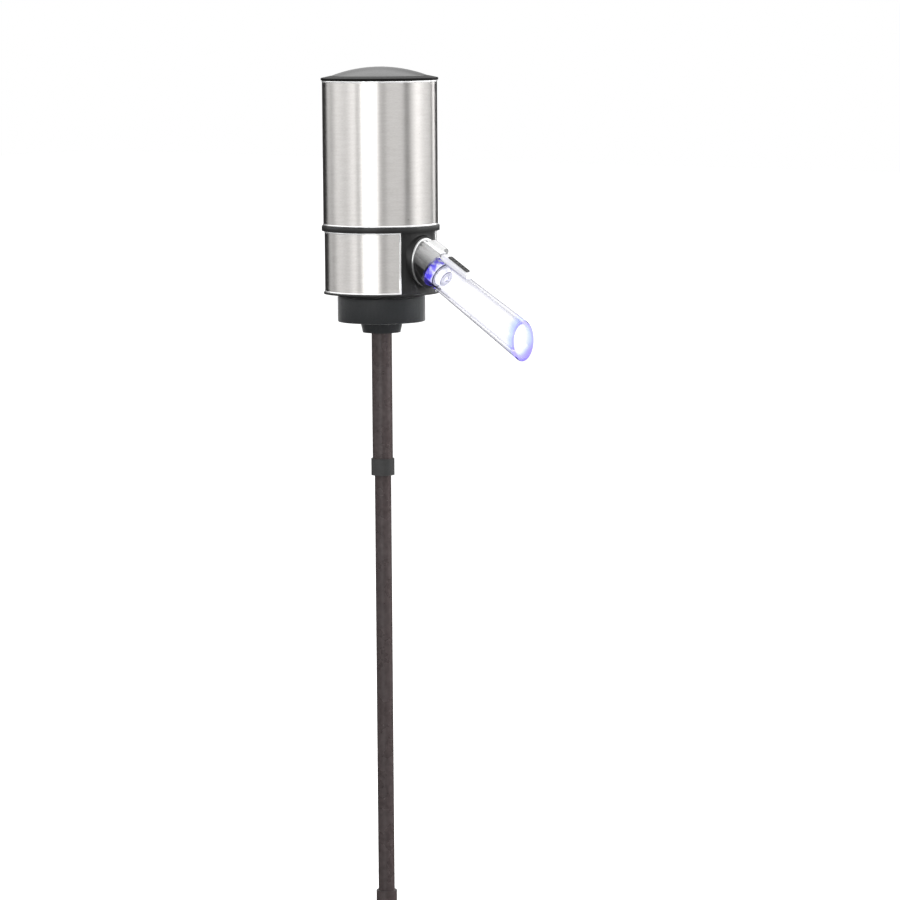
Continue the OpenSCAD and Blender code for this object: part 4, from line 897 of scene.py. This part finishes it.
tube_points = [v.co for v in nodes["aerator_tube"].data.vertices if (v.co - spout_root).dot(spout_top) < 0]
at_mouth = sorted(along_and_radius(p) for p in tube_points if p.x > mouth_x - AT_MOUTH * MM)
on_body = sorted(along_and_radius(p) for p in tube_points)
root_s = on_body[0][0]
bore_r = min(radius for _, radius in on_body)
shank_r = max(radius for s, radius in on_body if s < root_s + NEAR)
cone_s0 = min(s for s, radius in on_body if radius > shank_r + NEAR)
cone_r = max(radius for s, radius in on_body if s < cone_s0 + NEAR)
tube_r, cone_s1 = min((radius, s) for s, radius in on_body
                      if s > cone_s0 + PAST_CONE and radius > bore_r + WALL_AT_CONE)
flare = (at_mouth[-1][1] - tube_r) / (at_mouth[-1][0] - cone_s1)
bore_at_mouth = max((s, radius) for s, radius in at_mouth if radius < at_mouth[-1][1] - WALL_AT_MOUTH)
bore_flare = (bore_at_mouth[1] - bore_r) / (bore_at_mouth[0] - cone_s1)
print("shank", round(shank_r, 2), "cone", round(cone_r, 2), "at", round(cone_s0, 2))
print("tube", round(tube_r, 2), "at", round(cone_s1, 2), "bore", round(bore_r, 2))
print("flares", round(flare, 3), round(bore_flare, 3))

# %% Blow the tube
TUBE_STEPS = 120
# Share of the way from the outer to the inner edge of the lip, and how far back from the mouth, in mm
LIP = [(0.0, 0.5), (0.05, 0.22), (0.2, 0.06), (0.38, 0.0), (0.62, 0.0), (0.8, 0.06), (0.95, 0.22),
       (1.0, 0.5)]
LIP_START = 0.9
CONE_STEPS = 8
CONE_EASE = 1.6
SHANK_EDGE = 0.25
CONE_LIP = 0.2
CONE_GAP = 0.02

def spout_point(along, radius, angle):
    """A point in mm from its place along the spout, its radius and its angle from the top."""
    return (spout_root / MM + flow * along
            + (spout_top * math.cos(angle) - Vector((0, 1, 0)) * math.sin(angle)) * radius)

def mouth_along(radius, rate, angle):
    """Where a wall that starts at the cone's end with that radius, and flares, meets the mouth's plane."""
    lean = math.cos(angle) * math.sin(slope)
    room_ahead = (mouth_x - spout_root.x) / MM
    return (room_ahead - (radius - rate * cone_s1) * lean) / (math.cos(slope) + rate * lean)

def cone_radius(along):
    """The tube's outside radius, easing from the cone into the straight flare."""
    if along >= cone_s1:
        return tube_r + flare * (along - cone_s1)
    t = max(0.0, (along - cone_s0) / (cone_s1 - cone_s0))
    return cone_r + (tube_r - cone_r) * (1 - (1 - t) ** CONE_EASE)

def bore_radius(along):
    """The bore's radius past the cone."""
    return bore_r + bore_flare * (along - cone_s1)

def tube_column(angle):
    """The tube's outline at one angle: outside to the mouth, round the lip, back along the bore."""
    outside = [(root_s, shank_r - SHANK_EDGE), (root_s + SHANK_EDGE, shank_r), (cone_s0 - CONE_GAP, shank_r)]
    outside += [(cone_s0, cone_r - CONE_LIP), (cone_s0 + CONE_LIP, cone_radius(cone_s0 + CONE_LIP))]
    cone_places = [cone_s0 + (cone_s1 - cone_s0) * i / CONE_STEPS for i in range(1, CONE_STEPS + 1)]
    outside += [(s, cone_radius(s)) for s in cone_places]
    edge_s = mouth_along(tube_r, flare, angle)
    bore_s = mouth_along(bore_r, bore_flare, angle)
    outside.append((edge_s - LIP_START, cone_radius(edge_s - LIP_START)))
    line = [spout_point(s, radius, angle) for s, radius in outside]
    edge = spout_point(edge_s, cone_radius(edge_s), angle)
    hole = spout_point(bore_s, bore_radius(bore_s), angle)
    line += [edge.lerp(hole, share) - flow * back for share, back in LIP]
    line.append(spout_point(bore_s - LIP_START, bore_radius(bore_s - LIP_START), angle))
    line += [spout_point(s, bore_r, angle) for s in (cone_s1, cone_s0, root_s + CONE_LIP)]
    line.append(spout_point(root_s, bore_r + CONE_LIP, angle))
    return line

dress(skin("clear_tube", [tube_column(a) for a in circle(TUBE_STEPS)], endless=True), "aerator_tube")

# %% [markdown]
# ## The air intake
#
# Air is drawn in through a dark grille on a clear rib that runs along the top of the tube. The rib's
# underside follows the round tube, its top is soft, it narrows towards the mouth and slopes away at its
# end, so its cross section is worked out again at each place along the tube. The grille is two rails
# joined by small bars.

# %% Mould the rib
RIB_STATIONS = 30
RIB_NARROWING = 0.22
RIB_ROUND = 1.0
RIB_START_DROP = 0.2
RIB_END = 1.4
RIB_END_LEFT = 0.08
RIB_TAPER = 0.94
RIB_SOFT, RIB_SOFT_SHARE = 0.7, 0.6
RIB_LEAST = 1.2
SEAT_GAP = 0.04

def on_spout(point):
    """A point's distance along the spout, sideways and up from its axis, in mm."""
    offset = (point - spout_root) / MM
    return offset.dot(flow), offset.y, offset.dot(spout_top)

rib_points = [on_spout(v.co) for v in nodes["aerator_tube"].data.vertices]
rib_points = [point for point in rib_points if point[2] > tube_r + RIB_LEAST]
alongs, sides, ups = zip(*rib_points)
rib_s0, rib_wide, rib_top = min(alongs), 2 * max(sides), max(ups)
rib_flat_s1 = max(s for s, _, up in rib_points if up > rib_top - NEAR)
rib_s1 = rib_flat_s1 + RIB_END

def rib_section(along):
    """The rib's closed outline across the spout at one place, as (sideways, up)."""
    share = (along - rib_s0) / (rib_s1 - rib_s0)
    half = rib_wide / 2 * (1 + RIB_NARROWING * (0.5 - share))
    radius = cone_radius(along) + SEAT_GAP
    across = (-half, -half / 2, 0, half / 2, half)
    seat = [math.sqrt(radius * radius - side * side) for side in across]
    start = min(1.0, (along - rib_s0) / RIB_ROUND)
    end = min(1.0, (rib_s1 - along) / (rib_s1 - rib_flat_s1))
    rise = 1 - RIB_START_DROP * (1 - math.sqrt(1 - (1 - start) ** 2))
    fall = RIB_END_LEFT + (1 - RIB_END_LEFT) * end * (2 - end)
    crown = max(seat) + (rib_top - max(seat)) * rise * fall
    soft = min(RIB_SOFT, (crown - seat[0]) * RIB_SOFT_SHARE)
    bottom = [(side, height, 0) for side, height in zip(across, seat)]
    return rounded(bottom + [(half * RIB_TAPER, crown, soft), (-half * RIB_TAPER, crown, soft)])

def across_spout(along, side, height):
    """A point in mm from its place along the spout, sideways and up from the axis."""
    return spout_root / MM + flow * along + Vector((0, side, 0)) + spout_top * height

rib_shares = [(1 - math.cos(math.pi * i / RIB_STATIONS)) / 2 for i in range(RIB_STATIONS + 1)]
rib_places = [rib_s0 + (rib_s1 - rib_s0) * share for share in rib_shares]
rib = skin("intake_rib", [[across_spout(s, p.x, p.y) for p in rib_section(s)] for s in rib_places])
dress(rib, "aerator_tube", "milky_rib")
print("rib from", round(rib_s0, 1), "to", round(rib_s1, 1), "mm, top at", round(rib_top, 2))

# %% Lay the grille
RAIL = 0.45
SLOT = 0.7
SLOT_COUNT = 5
GRILLE_FLOOR = 0.35
BAR_SOFT = 0.12
BAR_END = 0.08
BAR_SUNK = 0.06

def rounded_bar(along0, along1, side0, side1, low, high):
    """The loops of a small bar with soft long edges and drawn-in ends."""
    loops = []
    ends = ((along0, BAR_END), (along0 + BAR_END, 0), (along1 - BAR_END, 0), (along1, BAR_END))
    for along, shrink in ends:
        left, right, top = side0 + shrink, side1 - shrink, high - shrink
        outline = rounded([(left, low, 0), (right, low, 0), (right, top, BAR_SOFT), (left, top, BAR_SOFT)])
        loops.append([across_spout(along, p.x, p.y) for p in outline])
    return loops

def join(name, pieces):
    """Join loose pieces into one object."""
    shape = bmesh.new()
    for piece in pieces:
        shape.from_mesh(piece.data)
        mesh = piece.data
        bpy.data.objects.remove(piece)
        bpy.data.meshes.remove(mesh)
    whole = bpy.data.meshes.new(name)
    shape.to_mesh(whole)
    shape.free()
    return link(bpy.data.objects.new(name, whole))

alongs, sides, ups = zip(*[on_spout(v.co) for v in nodes["air_intake"].data.vertices])
grille_s0, grille_s1 = min(alongs), max(alongs)
grille_low, grille_top = min(ups), max(ups)
half_wide = max(sides)
floor_top = grille_low + GRILLE_FLOOR
bars = [rounded_bar(grille_s0, grille_s1, -half_wide, half_wide, grille_low, floor_top)]
for side in (-half_wide, half_wide - RAIL):
    bars.append(rounded_bar(grille_s0, grille_s1, side, side + RAIL, floor_top, grille_top))
slot_step = (grille_s1 - grille_s0) / (SLOT_COUNT + 1)
slot_half = half_wide - RAIL
for i in range(SLOT_COUNT + 1):
    start = grille_s0 + slot_step * i + (SLOT / 2 if i else 0)
    end = grille_s0 + slot_step * (i + 1) - (SLOT / 2 if i < SLOT_COUNT else 0)
    bars.append(rounded_bar(start, end, -slot_half, slot_half, floor_top, grille_top - BAR_SUNK))
grille = join("intake_grille", [skin("grille_bar", loops) for loops in bars])
dress(grille, "air_intake")
print("grille of", len(bars), "bars, from", round(grille_s0, 1), "to", round(grille_s1, 1), "mm")

# %% [markdown]
# ## Springs
#
# The button's return spring and the battery contact springs are wound wire. A helix gives the path of
# the wire's centre, and each loop of the skin is a circle square to the path. The return spring rides
# with the cap, where its foot stands.

# %% Wind a wire
WIRE_SIDES = 10
TURN_STEPS = 36

def wind(name, radii, heights, turns, wire_r, middle=(0.0, 0.0)):
    """A coil about an upright line, from one radius and height to the other, of round wire, in mm."""
    count = int(turns * TURN_STEPS)
    path = []
    for i in range(count + 1):
        t = i / count
        a = 2 * math.pi * turns * t
        radius = radii[0] + (radii[1] - radii[0]) * t
        path.append(Vector((middle[0] + radius * math.cos(a), middle[1] + radius * math.sin(a),
                            heights[0] + (heights[1] - heights[0]) * t)))
    loops = []
    for i, point in enumerate(path):
        ahead = (path[min(i + 1, count)] - path[max(i - 1, 0)]).normalized()
        side = ahead.cross(Vector((0, 0, 1))).normalized()
        lift = side.cross(ahead)
        loops.append([point + (side * math.cos(b) + lift * math.sin(b)) * wire_r
                      for b in circle(WIRE_SIDES)])
    return skin(name, loops)

# %% The button's return spring
RETURN_WIRE = 0.4
RETURN_TURNS = 4
inner, outer, low, high = reach("button_spring")
return_spring = wind("return_spring", [outer - RETURN_WIRE] * 2, (low + RETURN_WIRE, high - RETURN_WIRE),
                     RETURN_TURNS, RETURN_WIRE)
dress(return_spring, "button_spring")
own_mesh(return_spring)

# %% The battery contact springs
CONTACT_WIRE = 0.3
CONTACT_TURNS = 2
CONTACT_RADII = (3.6, 1.8)
CONTACT_SPACE = 2.2
CONTACT_END_GAP = 0.05
contact_low, contact_high = (corner.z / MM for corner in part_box("contact_springs"))
pitch_r = reach("contact_springs")[1] - CONTACT_RADII[0] - CONTACT_WIRE
rise = CONTACT_SPACE - 2 * CONTACT_WIRE - 2 * CONTACT_END_GAP
coils = []
for i, a in enumerate(circle(CELLS)):
    start = contact_low + CONTACT_WIRE if i % 2 == 0 else contact_high - CONTACT_WIRE
    end = start + rise if i % 2 == 0 else start - rise
    coils.append(wind("contact_coil", CONTACT_RADII, (start, end), CONTACT_TURNS, CONTACT_WIRE,
                      (pitch_r * math.cos(a), pitch_r * math.sin(a))))
dress(join("contact_coils", coils), "contact_springs")
print("contact springs at", round(pitch_r, 2), "mm from the axis")

# %% [markdown]
# ## Softening the other solids' edges
#
# A knife-sharp edge never catches light, and is the first thing that looks false. The solids arrive as
# separate patches, so a Weld modifier joins them, and a Bevel modifier rounds what is left sharp. The
# width follows the piece: rubber is rounder than a machined part.

# %% Soften edges
WELD_GAP = 0.002
BEVEL_STEPS = 3
BEVEL_FROM = math.radians(35)

def soften(name, width_mm):
    """Round a solid's sharp edges with modifiers, leaving its mesh alone."""
    solid = nodes[name]
    weld = solid.modifiers.new("join_patches", "WELD")
    weld.merge_threshold = WELD_GAP * MM
    round_off = solid.modifiers.new("round_edges", "BEVEL")
    round_off.width = width_mm * MM
    round_off.segments = BEVEL_STEPS
    round_off.limit_method = "ANGLE"
    round_off.angle_limit = BEVEL_FROM
    round_off.harden_normals = True

SOFT_EDGES = {"lower_body": 0.25, "bottle_collar": 0.4, "stopper_plug": 0.4, "spout_barrel": 0.35}
for name, width in SOFT_EDGES.items():
    soften(name, width)
print("softened", len(SOFT_EDGES), "solids")
